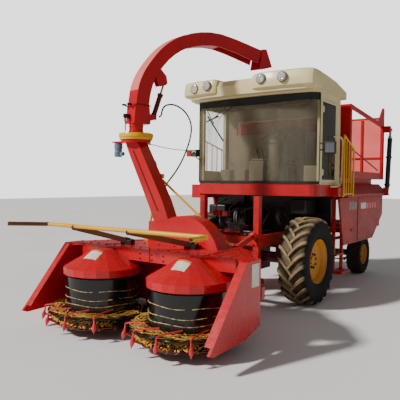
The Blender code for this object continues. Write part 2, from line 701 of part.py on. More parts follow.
# ======================================================================= cab
def cab_outline(grow=0.0, front_steps=8):
    """The cab's plan: a bowed front with round corners and a square rear.

    Grow moves the outline outwards; a negative value gives an inner face."""
    half = CAB_HALF + grow
    rear = CAB_REAR + grow
    corner = max(CAB_CORNER + grow, 0.01)
    flat = half - corner
    front = CAB_FRONT - grow
    points = [(half, rear), (-half, rear)]
    points += arc((-flat, front + corner), corner, 180, 270, 4)[:-1]
    for i in range(front_steps + 1):
        x = -flat + 2 * flat * i / front_steps
        points.append((x, front - CAB_BOW * (1 - (x / flat) ** 2)))
    points += arc((flat, front + corner), corner, 270, 360, 4)[1:]
    return points


def cab_base():
    """Red band and floor under the cab, with the right-hand step box."""
    band = plate(cab_outline(0.0), "z", BAND_Z)
    pocket = plate(cab_outline(-CAB_WALL), "z", (BAND_Z[0] + 0.05, BAND_Z[1] + 0.1))
    step = box((-BAY_HALF, -CAB_HALF + 0.06), (-0.10, COVER_FRONT_Y[0] - 0.02), (1.50, 1.72))
    sides = both_sides((CAB_HALF - 0.04, BAY_HALF), (0.46, CAB_REAR + 0.06), (1.56, 1.70))
    return joined(cut(band, pocket), step, *sides)


finished("cab_base", cab_base(), red_paint)

WINDOW_Z = (BAND_Z[1] + 0.02, 2.96)


def cab_shell():
    """Cream shell with its openings cut, so that the pillars are left."""
    z = (BAND_Z[1] + SEAT, ROOF_Z - SEAT)
    shell = plate(cab_outline(0.0), "z", z)
    inside = plate(cab_outline(-CAB_WALL), "z", (z[0] - 0.1, z[1] + 0.1))
    screen = box((-1.3, 1.3), (-1.0, PILLAR_Y), (z[0] - 0.1, WINDOW_Z[1]))
    door = box((CAB_HALF - 0.2, CAB_HALF + 0.2), DOOR_Y, DOOR_Z)
    right = box((-CAB_HALF - 0.2, -CAB_HALF + 0.2), (PILLAR_Y + 0.06, CAB_REAR - 0.12), (1.95, WINDOW_Z[1]))
    rear = box((-0.80, 0.80), (CAB_REAR - 0.2, CAB_REAR + 0.2), (2.20, 2.80))
    gland = rod(CABLE_END + Vector((0.035, 0, 0)), CABLE_END, 0.010, 8)
    return joined(cut(shell, inside, screen, door, right, rear), gland)


finished("cab_shell", cab_shell(), cream_paint)


def windshield():
    """Glass that wraps from one front pillar to the other."""
    z = (BAND_Z[1] + SEAT, WINDOW_Z[1] - SEAT)
    glass = plate(cab_outline(-0.006), "z", z)
    inside = plate(cab_outline(-0.006 - GLASS), "z", (z[0] - 0.1, z[1] + 0.1))
    behind = box((-1.3, 1.3), (PILLAR_Y - SEAT, 2.0), (z[0] - 0.1, z[1] + 0.1))
    return cut(glass, inside, behind)


finished("windshield", windshield(), tinted_glass)


def pane(x, y, z):
    """A flat pane that fills its opening with a small gap all round."""
    grown = [(low + SEAT, high - SEAT) for low, high in (x, y, z)]
    return box(*grown)


finished("right_window", pane((-CAB_HALF + 0.01, -CAB_HALF + 0.01 + GLASS),
                              (PILLAR_Y + 0.06, CAB_REAR - 0.12), (1.95, WINDOW_Z[1])), tinted_glass)
finished("rear_window", pane((-0.80, 0.80), (CAB_REAR - 0.02 - GLASS, CAB_REAR - 0.02), (2.20, 2.80)), tinted_glass)


def cab_roof():
    """Cream cap, thick over the visor, thinner and lower at the rear."""
    half = CAB_HALF + ROOF_OVER
    low = ROOF_Z
    side = [(CAB_FRONT - CAB_BOW - VISOR, low), (CAB_REAR + 0.06, low), (CAB_REAR + 0.06, low + 0.11),
            (0.40, low + 0.20), (-0.05, low + ROOF_H), (CAB_FRONT - CAB_BOW - VISOR + 0.06, low + ROOF_H - 0.01),
            (CAB_FRONT - CAB_BOW - VISOR, low + ROOF_H - 0.10)]
    roof = plate(side, "x", (-half, half))
    plan = plate([(half, CAB_REAR + 0.2), (-half, CAB_REAR + 0.2), (-half, CAB_FRONT - 0.02),
                  (-half + 0.14, CAB_FRONT - CAB_BOW - VISOR + 0.04), (-0.5, CAB_FRONT - CAB_BOW - VISOR - 0.01),
                  (0.5, CAB_FRONT - CAB_BOW - VISOR - 0.01), (half - 0.14, CAB_FRONT - CAB_BOW - VISOR + 0.04),
                  (half, CAB_FRONT - 0.02)], "z", (low - 0.5, low + 0.8))
    roof = combine(roof, [plan], "INTERSECT")
    pocket = plate(cab_outline(-0.06), "z", (low - 0.2, low + 0.07))
    return cut(roof, pocket)


finished("cab_roof", cab_roof(), cream_paint)


def door():
    """Door frame with its window cut; the hinge is at its front edge."""
    y = (DOOR_Y[0] + FREE, DOOR_Y[1] - FREE)
    z = (DOOR_Z[0] + FREE, DOOR_Z[1] - FREE)
    frame = box((CAB_HALF - 0.04, CAB_HALF), y, z)
    frame = cut(frame, box((CAB_HALF - 0.3, CAB_HALF + 0.3), (y[0] + 0.05, y[1] - 0.05), (z[0] + 0.07, z[1] - 0.06)))
    knuckles = []
    for h in (z[0] + 0.10, z[1] - 0.20):
        knuckles.append(rod((*DOOR_HINGE[:2], h), (*DOOR_HINGE[:2], h + 0.10), DOOR_HINGE_R, 10))
        knuckles.append(box((CAB_HALF - 0.01, CAB_HALF + 0.018), (y[0], y[0] + 0.05), (h + 0.01, h + 0.09)))
    return joined(frame, *knuckles)


finished("cab_door", door(), cream_paint, "cab_door")
finished("door_glass", pane((CAB_HALF - 0.025, CAB_HALF - 0.025 + GLASS),
                            (DOOR_Y[0] + FREE + 0.05, DOOR_Y[1] - FREE - 0.05),
                            (DOOR_Z[0] + FREE + 0.07, DOOR_Z[1] - FREE - 0.06)), tinted_glass, "cab_door")

FLOOR = BAND_Z[0] + 0.05
DRIVER_X = 0.32          # the driver sits to the left of the middle


def driver_seat():
    """Pedestal, cushion, back and the console beside it, as one closed body."""
    pieces = [box((DRIVER_X - 0.14, DRIVER_X + 0.14), (0.20, 0.50), (FLOOR + SEAT, 2.02)),
              box((DRIVER_X - 0.24, DRIVER_X + 0.24), (0.10, 0.58), (2.00, 2.12)),
              box((DRIVER_X - 0.23, DRIVER_X + 0.23), (0.52, 0.63), (2.08, 2.66)),
              box((DRIVER_X - 0.52, DRIVER_X - 0.235), (0.10, 0.55), (FLOOR + SEAT, 2.14))]
    return joined(*pieces)


finished("driver_seat", driver_seat(), seat_fabric)

WHEEL_PLACE = Vector((DRIVER_X, 0.045, 2.45))
WHEEL_LEAN = math.radians(28)
WHEEL_R = 0.205


def steering_column():
    """Leaning column with a round wheel on three spokes."""
    ring = turned([(WHEEL_R + 0.014 * math.cos(a), 0.014 * math.sin(a))
                   for a in [math.tau * i / 6 for i in range(6)]], 24)
    reach = WHEEL_R - 0.005
    spokes = [rod((0, 0, 0), (reach * math.cos(a), reach * math.sin(a), 0), 0.010, 6)
              for a in (math.radians(t) for t in (90, 210, 330))]
    hub = rod((0, 0, -0.05), (0, 0, 0.02), 0.035, 10)
    top = joined(hub, *spokes, ring)
    top = moved(moved(top, turn=WHEEL_LEAN, axis="X"), WHEEL_PLACE)
    column = box((DRIVER_X - 0.10, DRIVER_X + 0.10), (-0.13, 0.01), (FLOOR + SEAT, 1.95))
    stem = rod((DRIVER_X, -0.06, 1.90), tuple(WHEEL_PLACE - Vector((0, 0.0, 0.04))), 0.065, 12)
    return joined(column, stem, top)


finished("steering_column", steering_column(), grey_plastic)


# ==================================================== railings and the ladder
def railing(sign, y, bars):
    """Upright bars between a bottom and a sloping top rail."""
    x = sign * (BAY_HALF + 0.017)
    low = 1.60
    top = (2.49, 2.31)
    rails = [pipe([(x, y[0], low - 0.04), (x, y[0], top[0]), (x, y[1], top[1]), (x, y[1], low - 0.04)], 0.015),
             rod((x, y[0] + 0.003, low), (x, y[1] - 0.003, low), 0.011, 8)]
    for i in range(1, bars - 1):
        share = i / (bars - 1)
        rails.append(rod((x, at(y, share), low), (x, at(y, share), at(top, share)), 0.009, 8))
    for place in y:
        rails.append(rod((x, place, low - 0.03), (sign * (BAY_HALF + SEAT), place, low - 0.03), 0.021, 6))
    return joined(*rails)


finished("railing_left", railing(1, (0.645, 1.09), 5), yellow_paint)
finished("railing_right", railing(-1, (0.20, 1.00), 6), yellow_paint)


def ladder():
    """Two stiles with treads and a wide lowest step."""
    pieces = [box(LADDER_X, (y - 0.02, y + 0.02), (LADDER_Z[0], LADDER_Z[1] - SEAT)) for y in LADDER_Y]
    for i in range(4):
        z = LADDER_Z[0] + 0.26 * i
        pieces.append(box((LADDER_X[0] - 0.02, LADDER_X[1] + 0.02), LADDER_Y, (z, z + 0.025)))
    pieces.append(box((LADDER_X[0] - 0.03, LADDER_X[1] + 0.12), (LADDER_Y[0] - 0.02, LADDER_Y[1] + 0.02),
                      (LADDER_Z[0] - 0.012, LADDER_Z[0] + 0.012)))
    return joined(*pieces)


finished("ladder", ladder(), red_paint)


# ========================================================= engine and covers
finished("engine", box((-0.36, 0.36), (1.25, 2.55), (RAIL_Z[1] + 0.02 + SEAT, 1.49)), grey_iron)


def side_cover(sign, rear_part):
    """A sheet with a folded top edge; the rear one's lower corner is cut."""
    if rear_part:
        outline = [(COVER_SPLIT_Y + FREE / 2, COVER_Z[0]), (2.26, COVER_Z[0]), (COVER_REAR_Y, 1.20),
                   (COVER_REAR_Y, COVER_Z[1]), (COVER_SPLIT_Y + FREE / 2, COVER_Z[1])]
    else:
        outline = [(COVER_FRONT_Y[1], COVER_Z[0]), (COVER_SPLIT_Y - FREE / 2, COVER_Z[0]),
                   (COVER_SPLIT_Y - FREE / 2, COVER_Z[1]), (COVER_FRONT_Y[0], COVER_Z[1])]
    ends = [point[0] for point in outline if point[1] == COVER_Z[1]]
    hinge = rod((sign * BAY_HALF, min(ends) + 0.01, COVER_HINGE_Z), (sign * BAY_HALF, max(ends) - 0.01, COVER_HINGE_Z),
                COVER_HINGE_R, 8)
    return joined(plate(outline, "x", sorted((sign * BAY_HALF, sign * (BAY_HALF - COVER_T)))), hinge)


for side, sign in SIDES:
    finished("side_cover_front_" + side, side_cover(sign, False), red_paint, "side_cover_front_" + side)
    finished("side_cover_rear_" + side, side_cover(sign, True), red_paint, "side_cover_rear_" + side)


# ======================================================================= bin
HINGE_LUGS = (BIN_Y[0] + 0.26, BIN_Y[1] - 0.28)


def bin_bed():
    """Sloping roof of the engine bay; the bin rests on it and tips over its
    right-hand edge."""
    low = BED_LIP_Z
    y = (CAB_REAR + 0.10, BIN_Y[1] + 0.20)
    outer = [(-BAY_HALF, low), (-BAY_HALF, low + 0.05), (-0.98, BED_TOP), (0.98, BED_TOP),
             (BAY_HALF, low + 0.05), (BAY_HALF, low), (BAY_HALF - 0.05, low), (BAY_HALF - 0.05, low + 0.025),
             (0.95, BED_TOP - 0.05), (-0.95, BED_TOP - 0.05), (-BAY_HALF + 0.05, low + 0.025),
             (-BAY_HALF + 0.05, low)]
    shell = plate(outer, "y", y)
    legs = []
    for x in (0.90, -0.90):
        for place in BAY_FRAMES_Y:
            legs.append(box((x - 0.03, x + 0.03), (place - 0.03, place + 0.03), (1.56 + SEAT, BED_TOP - 0.03)))
    lugs = []
    for place in HINGE_LUGS:
        for aside in (-0.06, 0.035):
            lugs.append(box((BIN_HINGE_X - 0.027, BIN_HINGE_X + 0.027), (place + aside, place + aside + 0.025),
                            (1.60, BIN_HINGE_Z + 0.027)))
        lugs.append(rod((BIN_HINGE_X, place - 0.06, BIN_HINGE_Z), (BIN_HINGE_X, place + 0.06, BIN_HINGE_Z),
                        0.018 * PIN_FIT, 12))
    foot = Vector(TIP_FOOT)
    lugs.append(box((foot.x - 0.05, foot.x + 0.05), (foot.y - 0.10, foot.y - 0.05), (low + 0.005, foot.z + 0.035)))
    lugs.append(box((BAY_HALF - 0.12, foot.x + 0.03), (foot.y - 0.10, foot.y + 0.06), (low + 0.005, low + 0.03)))
    lugs.append(rod((foot.x, foot.y - 0.07, foot.z), (foot.x, foot.y + 0.045, foot.z), 0.016 * PIN_FIT, 12))
    return joined(shell, *legs, *lugs)


finished("bin_bed", bin_bed(), red_paint)


def bin_body():
    """Open-topped crop bin: floor, front and rear walls, an open framed left
    side and an opening on the right for the gate."""
    z0, z1 = BIN_Z
    y0, y1 = BIN_Y
    w = BIN_WALL
    shell = box((-BIN_HALF, BIN_HALF), BIN_Y, BIN_Z)
    inside = box((-BIN_HALF + w, BIN_HALF - w), (y0 + w, y1 - w), (z0 + w, z1 + 1))
    slope = plate([(y0 - 0.1, z1 + 0.01), (y1 + 0.1, z1 - 0.16), (y1 + 0.1, z1 + 1), (y0 - 0.1, z1 + 1)], "x",
                  (BIN_HALF - w - 0.001, BIN_HALF + 0.1))
    left_side = plate([(y0 + 0.07, z0 + 0.12), (y1 - 0.11, z0 + 0.12), (y1 - 0.11, z1 - 0.21), (y0 + 0.07, z1 - 0.07)],
                      "x", (BIN_HALF - 0.1, BIN_HALF + 0.1))
    right_side = box((-BIN_HALF - 0.1, -BIN_HALF + 0.1), (y0 + 0.06, y1 - 0.06), (z0 + w, z1 - 0.06))
    shell = cut(shell, inside, slope, left_side, right_side)
    # raised corner plate at the rear left, and the runners underneath
    pieces = [plate([(y1 - 0.42, z1 - 0.16), (y1 - 0.005, z1 - 0.20), (y1 - 0.005, z1 + 0.16), (y1 - 0.10, z1 + 0.16)],
                    "x", (BIN_HALF - 0.025, BIN_HALF - 0.003))]
    for x in (0.86, -0.86):
        pieces.append(box((x - 0.04, x + 0.04), (y0 + 0.02, y1 - 0.02), (BED_TOP + SEAT, z0 + 0.01)))
    for i in range(1, 6):
        x = -BIN_HALF + 2 * BIN_HALF * i / 6
        pieces.append(box((x - 0.02, x + 0.02), (y1 - 0.005, y1 + 0.025), (z0 + 0.004, z1 - 0.17)))
    for place in HINGE_LUGS:
        pieces.append(rod((BIN_HINGE_X, place - 0.03, BIN_HINGE_Z), (BIN_HINGE_X, place + 0.03, BIN_HINGE_Z), 0.034, 12))
        pieces.append(box((BIN_HINGE_X - 0.02, BIN_HINGE_X + 0.02), (place - 0.026, place + 0.026),
                          (BIN_HINGE_Z + 0.02, z0 + 0.01)))
    # the ear that the tipping cylinder's rod acts on
    eye = Vector(TIP_EYE)
    pieces.append(box((BIN_HALF - 0.02, eye.x + 0.03), (y1 - 0.04, y1 + 0.03), (eye.z - 0.06, eye.z + 0.06)))
    pieces.append(box((eye.x - 0.03, eye.x + 0.03), (y1 - 0.01, y1 + 0.06), (eye.z - 0.05, eye.z + 0.05)))
    shell = joined(shell, *pieces)
    bores = [rod((BIN_HINGE_X, place - 0.05, BIN_HINGE_Z), (BIN_HINGE_X, place + 0.05, BIN_HINGE_Z), 0.018, 12)
             for place in HINGE_LUGS]
    return cut(shell, *bores)


finished("bin_body", bin_body(), red_paint, "bin")


def bin_gate():
    """The bin's right wall, hung from its top edge."""
    x = (-BIN_HALF - 0.035, -BIN_HALF - FREE)
    wall = box(x, (BIN_Y[0] + 0.01, BIN_Y[1] - 0.01), (BIN_Z[0] + 0.02, GATE_HINGE[2] - 0.002))
    hinge = rod((GATE_HINGE[0], BIN_Y[0] + 0.02, GATE_HINGE[2]), (GATE_HINGE[0], BIN_Y[1] - 0.02, GATE_HINGE[2]),
                GATE_HINGE_R, 10)
    return joined(wall, hinge)


finished("bin_gate", bin_gate(), red_paint, "bin_gate")

TIP_BARREL_R = 0.045
TIP_STAGE_R = 0.034
TIP_ROD_R = 0.024


def tip_parts():
    """A two-stage ram: barrel, hollow middle stage and rod."""
    foot, eye = Vector(TIP_FOOT), Vector(TIP_EYE)
    along = (eye - foot).normalized()
    reach = (eye - foot).length
    barrel = joined(rod(foot + along * 0.03, foot + along * (reach - 0.16), TIP_BARREL_R, 16),
                    rod(foot - Vector((0, 0.03, 0)), foot + Vector((0, 0.03, 0)), 0.036, 12))
    barrel = cut(barrel, rod(foot + along * 0.07, eye, TIP_STAGE_R, 16),
                 rod(foot - Vector((0, 0.1, 0)), foot + Vector((0, 0.1, 0)), 0.016, 12))
    stage = cut(rod(foot + along * 0.075, foot + along * (reach - 0.12), TIP_STAGE_R - RUN, 16),
                rod(foot + along * 0.11, eye, TIP_ROD_R, 16))
    tip = joined(rod(foot + along * 0.12, eye, TIP_ROD_R - RUN, 16),
                 rod(eye - Vector((0, 0.03, 0)), eye + Vector((0, 0.03, 0)), 0.034, 12))
    return barrel, stage, tip


tip_barrel, tip_stage, tip_rod = tip_parts()
finished("tip_barrel", tip_barrel, black_paint, "tip_barrel")
finished("tip_stage", tip_stage, bright_steel, "tip_stage")
finished("tip_rod", tip_rod, bright_steel, "tip_rod")
finished("lift_rods", lift_rods(), bright_steel, "lift_rods")


# ==================================================================== header
MAST_Y = (LINK_END_Y - 0.03, LINK_END_Y + 0.03)
BEAM_Y = (-1.74, -1.66)
BEAM_H = (0.40, 0.54)
GEAR_Z = (0.10, 0.20)
REAR_WALL_Y = (DRUM_Y + CAP_R + 0.008, DRUM_Y + CAP_R + 0.036)


def drum_cap(sign):
    """Fixed cone over a drum, with a rolled skirt and an inner hub."""
    profile = [(CAP_R, CAP_LIP_Z[0]), (CAP_R - 0.012, CAP_LIP_Z[0]), (CAP_R - 0.012, CAP_LIP_Z[1] - 0.008),
               (0.12, CAP_TOP_Z - 0.035), (0.06, CAP_TOP_Z - 0.035), (0.06, DRUM_Z[1] + 0.02 + SEAT),
               (0.0, DRUM_Z[1] + 0.02 + SEAT), (0.0, CAP_TOP_Z), (0.12, CAP_TOP_Z), (CAP_R, CAP_LIP_Z[1])]
    return moved(turned(profile, 20), (sign * DRUM_X, DRUM_Y, 0))


def header_frame():
    """Deck, rear wall, drum carriers, cross beam and the mast for the links."""
    corner_x = HEADER_HALF - PANEL_T - SEAT
    front_y, mid_y = DECK_FRONT, -2.32
    deck_outline = [(-corner_x, -2.585), (-1.14, front_y), (1.14, front_y), (corner_x, -2.585),
                    (corner_x, mid_y), (1.06, -1.91), (0.56, DECK_REAR), (-0.56, DECK_REAR), (-1.06, -1.91),
                    (-corner_x, mid_y)]
    pieces = [plate(deck_outline, "z", DECK_Z),
              box((-1.22, 1.22), REAR_WALL_Y, (0.28, DECK_Z[0] + 0.01)),
              box((-1.14, 1.14), (front_y, front_y + 0.02), (0.82, DECK_Z[0] + 0.01)),
              box((-1.05, 1.05), BEAM_Y, BEAM_H)]
    for sign in (1, -1):
        low, high = sorted((sign * (DRUM_X - 0.07), sign * (DRUM_X + 0.07)))
        pieces.append(drum_cap(sign))
        pieces.append(box((low, high), (DRUM_Y + 0.05, REAR_WALL_Y[0] + 0.01), (0.85, DECK_Z[0] + 0.01)))
        # lower arm to the gearbox that carries the disc
        pieces.append(box((low, high), (DRUM_Y, BEAM_Y[1]), (GEAR_Z[0] + 0.02, GEAR_Z[1] - 0.015)))
        pieces.append(box((low, high), (BEAM_Y[0] + 0.01, BEAM_Y[1]), (GEAR_Z[0] + 0.02, BEAM_H[0] + 0.02)))
        pieces.append(rod((sign * DRUM_X, DRUM_Y, GEAR_Z[0]), (sign * DRUM_X, DRUM_Y, DISC_Z[0] - SEAT), 0.14, 20))
        # mast post and its lugs at the links' ends
        x = sign * RAIL_X
        for aside in (-0.058, 0.034):
            pieces.append(box((x + aside, x + aside + 0.024), (LINK_END_Y - 0.08, LINK_END_Y + 0.04),
                              (HEADER_LOW_Z - 0.05, DECK_Z[0] + 0.01)))
        pieces.append(box((x - 0.06, x + 0.06), (BEAM_Y[1] - 0.02, LINK_END_Y - 0.062), (BEAM_H[0] + 0.01, DECK_Z[0] + 0.012)))
        for z in (HEADER_LOW_Z, HEADER_HIGH_Z):
            pieces.append(rod((x - 0.05, LINK_END_Y, z), (x + 0.05, LINK_END_Y, z), PIN_R * PIN_FIT, 12))
    frame = joined(*pieces)
    slot_x = (HOUSING_C[0] - HOUSING_R - SEAT, HOUSING_C[0] + HOUSING_R + SEAT)
    slot = box(slot_x, (HOUSING_Y[0] - SEAT, HOUSING_Y[1] + SEAT), (HOUSING_C[1] - HOUSING_R - 0.1, 1.3))
    throat = box((-0.16, 0.16), (REAR_WALL_Y[0] - 0.1, REAR_WALL_Y[1] + 0.02), (0.30, 0.62))
    return cut(frame, slot, throat)


finished("header_frame", header_frame(), red_paint, "header")


def divider(sign):
    """Outer side panel with a nose and a folded top flange."""
    side = [(-2.32, 0.28), (-2.32, 0.965), (-2.60, 0.965), (-3.20, 0.27), (-3.257, 0.21), (-3.19, 0.185), (-2.62, 0.20)]
    x_out = sign * HEADER_HALF
    panel = plate(side, "x", sorted((x_out, x_out - sign * PANEL_T)))
    flange = plate([(-2.597, 0.94), (-2.607, 0.957), (-3.19, 0.281), (-3.176, 0.272)], "x",
                   sorted((x_out, x_out - sign * 0.09)))
    return joined(panel, flange)


for side, sign in SIDES:
    finished("divider_" + side, divider(sign), red_paint, "header")


GUIDE_ANGLES = (-43, -18, 9, 38)     # the crop points' directions, from straight ahead
PAN_R = 0.54
PAN_Z = (0.085, 0.10)


def crop_guides():
    """Pans under the discs, with the points that part the crop in front of them."""
    pieces = []

    def ahead(sign, angle, radius, height):
        turn = math.radians(270 + angle)
        return Vector((sign * DRUM_X + radius * math.cos(turn), DRUM_Y + radius * math.sin(turn), height))

    for sign in (1, -1):
        pan = rod((sign * DRUM_X, DRUM_Y, PAN_Z[0]), (sign * DRUM_X, DRUM_Y, PAN_Z[1] - SEAT), PAN_R, 24)
        pieces.append(pan)
        for angle in GUIDE_ANGLES:
            knee = ahead(sign, angle, 0.677, 0.25)
            pieces.append(rod(ahead(sign, angle, 0.50, at(PAN_Z, 0.4)), ahead(sign, angle, 0.69, 0.19), 0.014, 6))
            pieces.append(rod(knee, ahead(sign, angle, 0.71, 0.12), 0.022, 6, 0.003))
    pieces.append(box((-DRUM_X, DRUM_X), (DRUM_Y + 0.16, DRUM_Y + 0.22), (PAN_Z[0] + 0.002, PAN_Z[1] - 0.002)))
    return joined(*pieces)


finished("crop_guides", crop_guides(), dark_red_paint, "header")


def drum(sign):
    """Rotating drum: knife disc, barrel and hub."""
    profile = [(0.0, DISC_Z[0]), (DISC_R, DISC_Z[0]), (DISC_R, DISC_Z[0] + 0.006), (DRUM_R, DISC_Z[1]),
               (DRUM_R, DRUM_Z[1]), (0.055, DRUM_Z[1]), (0.055, DRUM_Z[1] + 0.02), (0.0, DRUM_Z[1] + 0.02)]
    return moved(turned(profile, 24, closed=False), (sign * DRUM_X, DRUM_Y, 0))


for side, sign in SIDES:
    finished("drum_" + side, drum(sign), black_paint, "drum_" + side)


def push_bar():
    """Bar that bends the crop forwards, on two arms from the deck."""
    bar = pipe([(-1.69, -3.20, 1.22), (-1.47, -2.76, 1.20), (0.96, -2.76, 1.20), (0.97, -3.04, 1.20)], 0.026, 3)
    pieces = [bar]
    for foot, tip in (((-0.58, -2.25), (-1.00, -2.76)), ((0.30, -2.10), (-0.10, -2.76))):
        start = Vector((foot[0], foot[1], DECK_Z[1] + 0.046))
        end = Vector((tip[0], tip[1], 1.185))
        pieces.append(rod(start, end + (end - start).normalized() * 0.02, 0.038, 8))
        pieces.append(box((foot[0] - 0.07, foot[0] + 0.07), (foot[1] - 0.05, foot[1] + 0.05),
                          (DECK_Z[1] + SEAT, DECK_Z[1] + 0.06)))
    return joined(*pieces)


finished("push_bar", push_bar(), yellow_paint, "header")


def chopper_housing():
    """Flat round case of the chopping flywheel with a tangential outlet."""
    cx, cz = HOUSING_C
    y0, y1 = HOUSING_Y
    case = rod((cx, y0, cz), (cx, y1, cz), HOUSING_R, 40)
    outlet = box((cx - HOUSING_R, cx - HOUSING_R + 0.26), (y0 + 0.004, y1 - 0.004), (cz, DUCT_FOOT_Z))
    rim = rod((cx, y0 - 0.012, cz), (cx, y0 + 0.01, cz), 0.10, 20)
    return joined(case, outlet, rim)


DUCT_FOOT_Z = 1.25
finished("chopper_housing", chopper_housing(), red_paint, "header")

DUCT_REAR_Y = SPOUT_Y + DUCT_D / 2 + 0.005
CABLE_WAY = Vector((0.40, 0.91, -0.12)).normalized()
CABLE_START = Vector((SPOUT_X, SPOUT_Y, RING_Z[0] - 0.018)) + CABLE_WAY * (RING_R - 0.01)
DUCT_LINE = [(-0.33, DUCT_FOOT_Z), (-0.42, 1.46), (SPOUT_X + 0.06, 2.17), (SPOUT_X, RING_Z[0] - 0.05)]


def discharge_duct():
    """Leaning square duct from the flywheel's outlet up to the slewing ring,
    with the ring's lower flange, the slewing motor and the stays' bracket."""
    half = DUCT_W / 2 + 0.005
    left = [(DUCT_LINE[0][0] - half - 0.02, DUCT_FOOT_Z + SEAT), (DUCT_LINE[1][0] - half, DUCT_LINE[1][1] - 0.05),
            (DUCT_LINE[2][0] - half, DUCT_LINE[2][1] - 0.02), (DUCT_LINE[3][0] - half, DUCT_LINE[3][1] + 0.03)]
    right = [(DUCT_LINE[3][0] + half, DUCT_LINE[3][1] + 0.03), (DUCT_LINE[2][0] + half, DUCT_LINE[2][1] + 0.02),
             (DUCT_LINE[1][0] + half, DUCT_LINE[1][1] + 0.05), (DUCT_LINE[0][0] + half + 0.02, DUCT_FOOT_Z + SEAT)]
    y = (SPOUT_Y - DUCT_D / 2 - 0.005, SPOUT_Y + DUCT_D / 2 + 0.005)
    duct = plate(left + right, "y", y)
    ring_centre = (SPOUT_X, SPOUT_Y)
    flange = rod((*ring_centre, RING_Z[0] - 0.035), (*ring_centre, RING_Z[0] - SEAT), RING_R - 0.03, 24)
    slew_plate = box((SPOUT_X - 0.33, SPOUT_X), (SPOUT_Y - 0.12, SPOUT_Y + 0.05), (RING_Z[0] - 0.03, RING_Z[0] - 0.012))
    motor = rod((SPOUT_X - 0.27, SPOUT_Y - 0.06, RING_Z[0] - 0.21), (SPOUT_X - 0.27, SPOUT_Y - 0.06, RING_Z[0] - 0.02),
                0.05, 12)
    bracket = box((-0.66, -0.54), (SPOUT_Y + 0.07, SPOUT_Y + 0.14), (1.79, 1.87))
    gland = rod(CABLE_START - CABLE_WAY * 0.06, CABLE_START, 0.010, 8)
    return joined(duct, flange, slew_plate, motor, bracket, gland)


finished("discharge_duct", discharge_duct(), red_paint, "header")

STAY_TOP = (-0.60, SPOUT_Y + 0.166, 1.83)


def duct_stays():
    """Two stays from the duct's bracket down to the deck."""
    pieces = [box((-0.70, -0.50), (SPOUT_Y + 0.14 + SEAT, SPOUT_Y + 0.17), (1.80, 1.86))]
    for foot in ((0.48, DECK_REAR - 0.06), (-0.72, -1.71)):
        start = (foot[0], foot[1], DECK_Z[1] + 0.02)
        pieces.append(rod(start, STAY_TOP, 0.016, 10))
        pieces.append(box((foot[0] - 0.035, foot[0] + 0.035), (foot[1] - 0.035, foot[1] + 0.035),
                          (DECK_Z[1] + SEAT, DECK_Z[1] + 0.022)))
    return joined(*pieces)


finished("duct_stays", duct_stays(), yellow_paint, "header")


# ===================================================================== spout
def stand_on_spout(piece):
    """Brings a piece drawn as (along, height) in the XZ plane to its place."""
    piece.data.transform(Matrix.Translation((SPOUT_X, SPOUT_Y, 0))
                         @ Matrix.Rotation(math.pi / 2 - SPOUT_TURN, 4, "Z"))
    return piece


ring = cut(rod((SPOUT_X, SPOUT_Y, RING_Z[0]), (SPOUT_X, SPOUT_Y, RING_Z[1]), RING_R, 32),
           rod((SPOUT_X, SPOUT_Y, RING_Z[0] - 0.1), (SPOUT_X, SPOUT_Y, RING_Z[1] + 0.1), NECK_R - 0.02, 24))
finished("slewing_ring", ring, yellow_paint, "spout_base")


def spout_base():
    """Round neck, square box and the foot of the tilt cylinder."""
    neck = rod((SPOUT_X, SPOUT_Y, RING_Z[1] + SEAT), (SPOUT_X, SPOUT_Y, BASE_Z[0] + 0.02), NECK_R, 24)
    half = SPOUT_W / 2
    outline = [(-0.10, BASE_Z[0]), (0.16, BASE_Z[0]), (0.17, BASE_Z[0] + 0.05), (0.15, BASE_Z[1]), (-0.08, BASE_Z[1])]
    case = stand_on_spout(plate(outline, "y", (-half, half)))
    lug = [(0.12, TILT_BASE[1] - 0.05), (TILT_BASE[0] + 0.03, TILT_BASE[1] - 0.03),
           (TILT_BASE[0] + 0.03, TILT_BASE[1] + 0.03), (0.12, TILT_BASE[1] + 0.05)]
    lugs = [stand_on_spout(plate(lug, "y", (y, y + 0.012))) for y in (-0.045, 0.033)]
    elbow = stand_on_spout(rod((TILT_BASE[0] - 0.01, HOSE_ASIDE, HOSE_EXIT[1]),
                               (HOSE_EXIT[0] - SEAT, HOSE_ASIDE, HOSE_EXIT[1]), 0.013, 10))
    pin = stand_on_spout(rod((TILT_BASE[0], -0.04, TILT_BASE[1]), (TILT_BASE[0], 0.04, TILT_BASE[1]), 0.010 * PIN_FIT, 12))
    return joined(case, neck, *lugs, elbow, pin)


def evenly(points, step):
    """Points step apart along a smooth line through the given ones."""
    line = smooth_line(points, 24)
    run = [0.0]
    for a, b in zip(line, line[1:]):
        run.append(run[-1] + (Vector(b) - Vector(a)).length)
    count = max(2, round(run[-1] / step))
    spots, i = [], 0
    for k in range(count + 1):
        want = run[-1] * k / count
        while i < len(run) - 2 and run[i + 1] < want:
            i += 1
        share = (want - run[i]) / max(run[i + 1] - run[i], 1e-9)
        spots.append(Vector(line[i]).lerp(Vector(line[i + 1]), min(share, 1.0)))
    return spots


def spout_hose():
    """Hose that leaves the tilt cylinder's foot, swings up and back in one loop
    and comes down to the rear face of the duct."""
    route = [on_spout(*HOSE_EXIT, HOSE_ASIDE)]
    route += [on_spout(along, height, HOSE_ASIDE) for along, height in HOSE_LOOP]
    end_x, end_z = HOSE_END
    route += [(end_x - 0.085, DUCT_REAR_Y + 0.24, end_z + 0.05), (end_x, DUCT_REAR_Y + 0.09, end_z),
              (end_x, DUCT_REAR_Y + 0.045, end_z), (end_x, DUCT_REAR_Y + SEAT, end_z)]
    return pipe(evenly(route, HOSE_STEP), HOSE_R, 2)


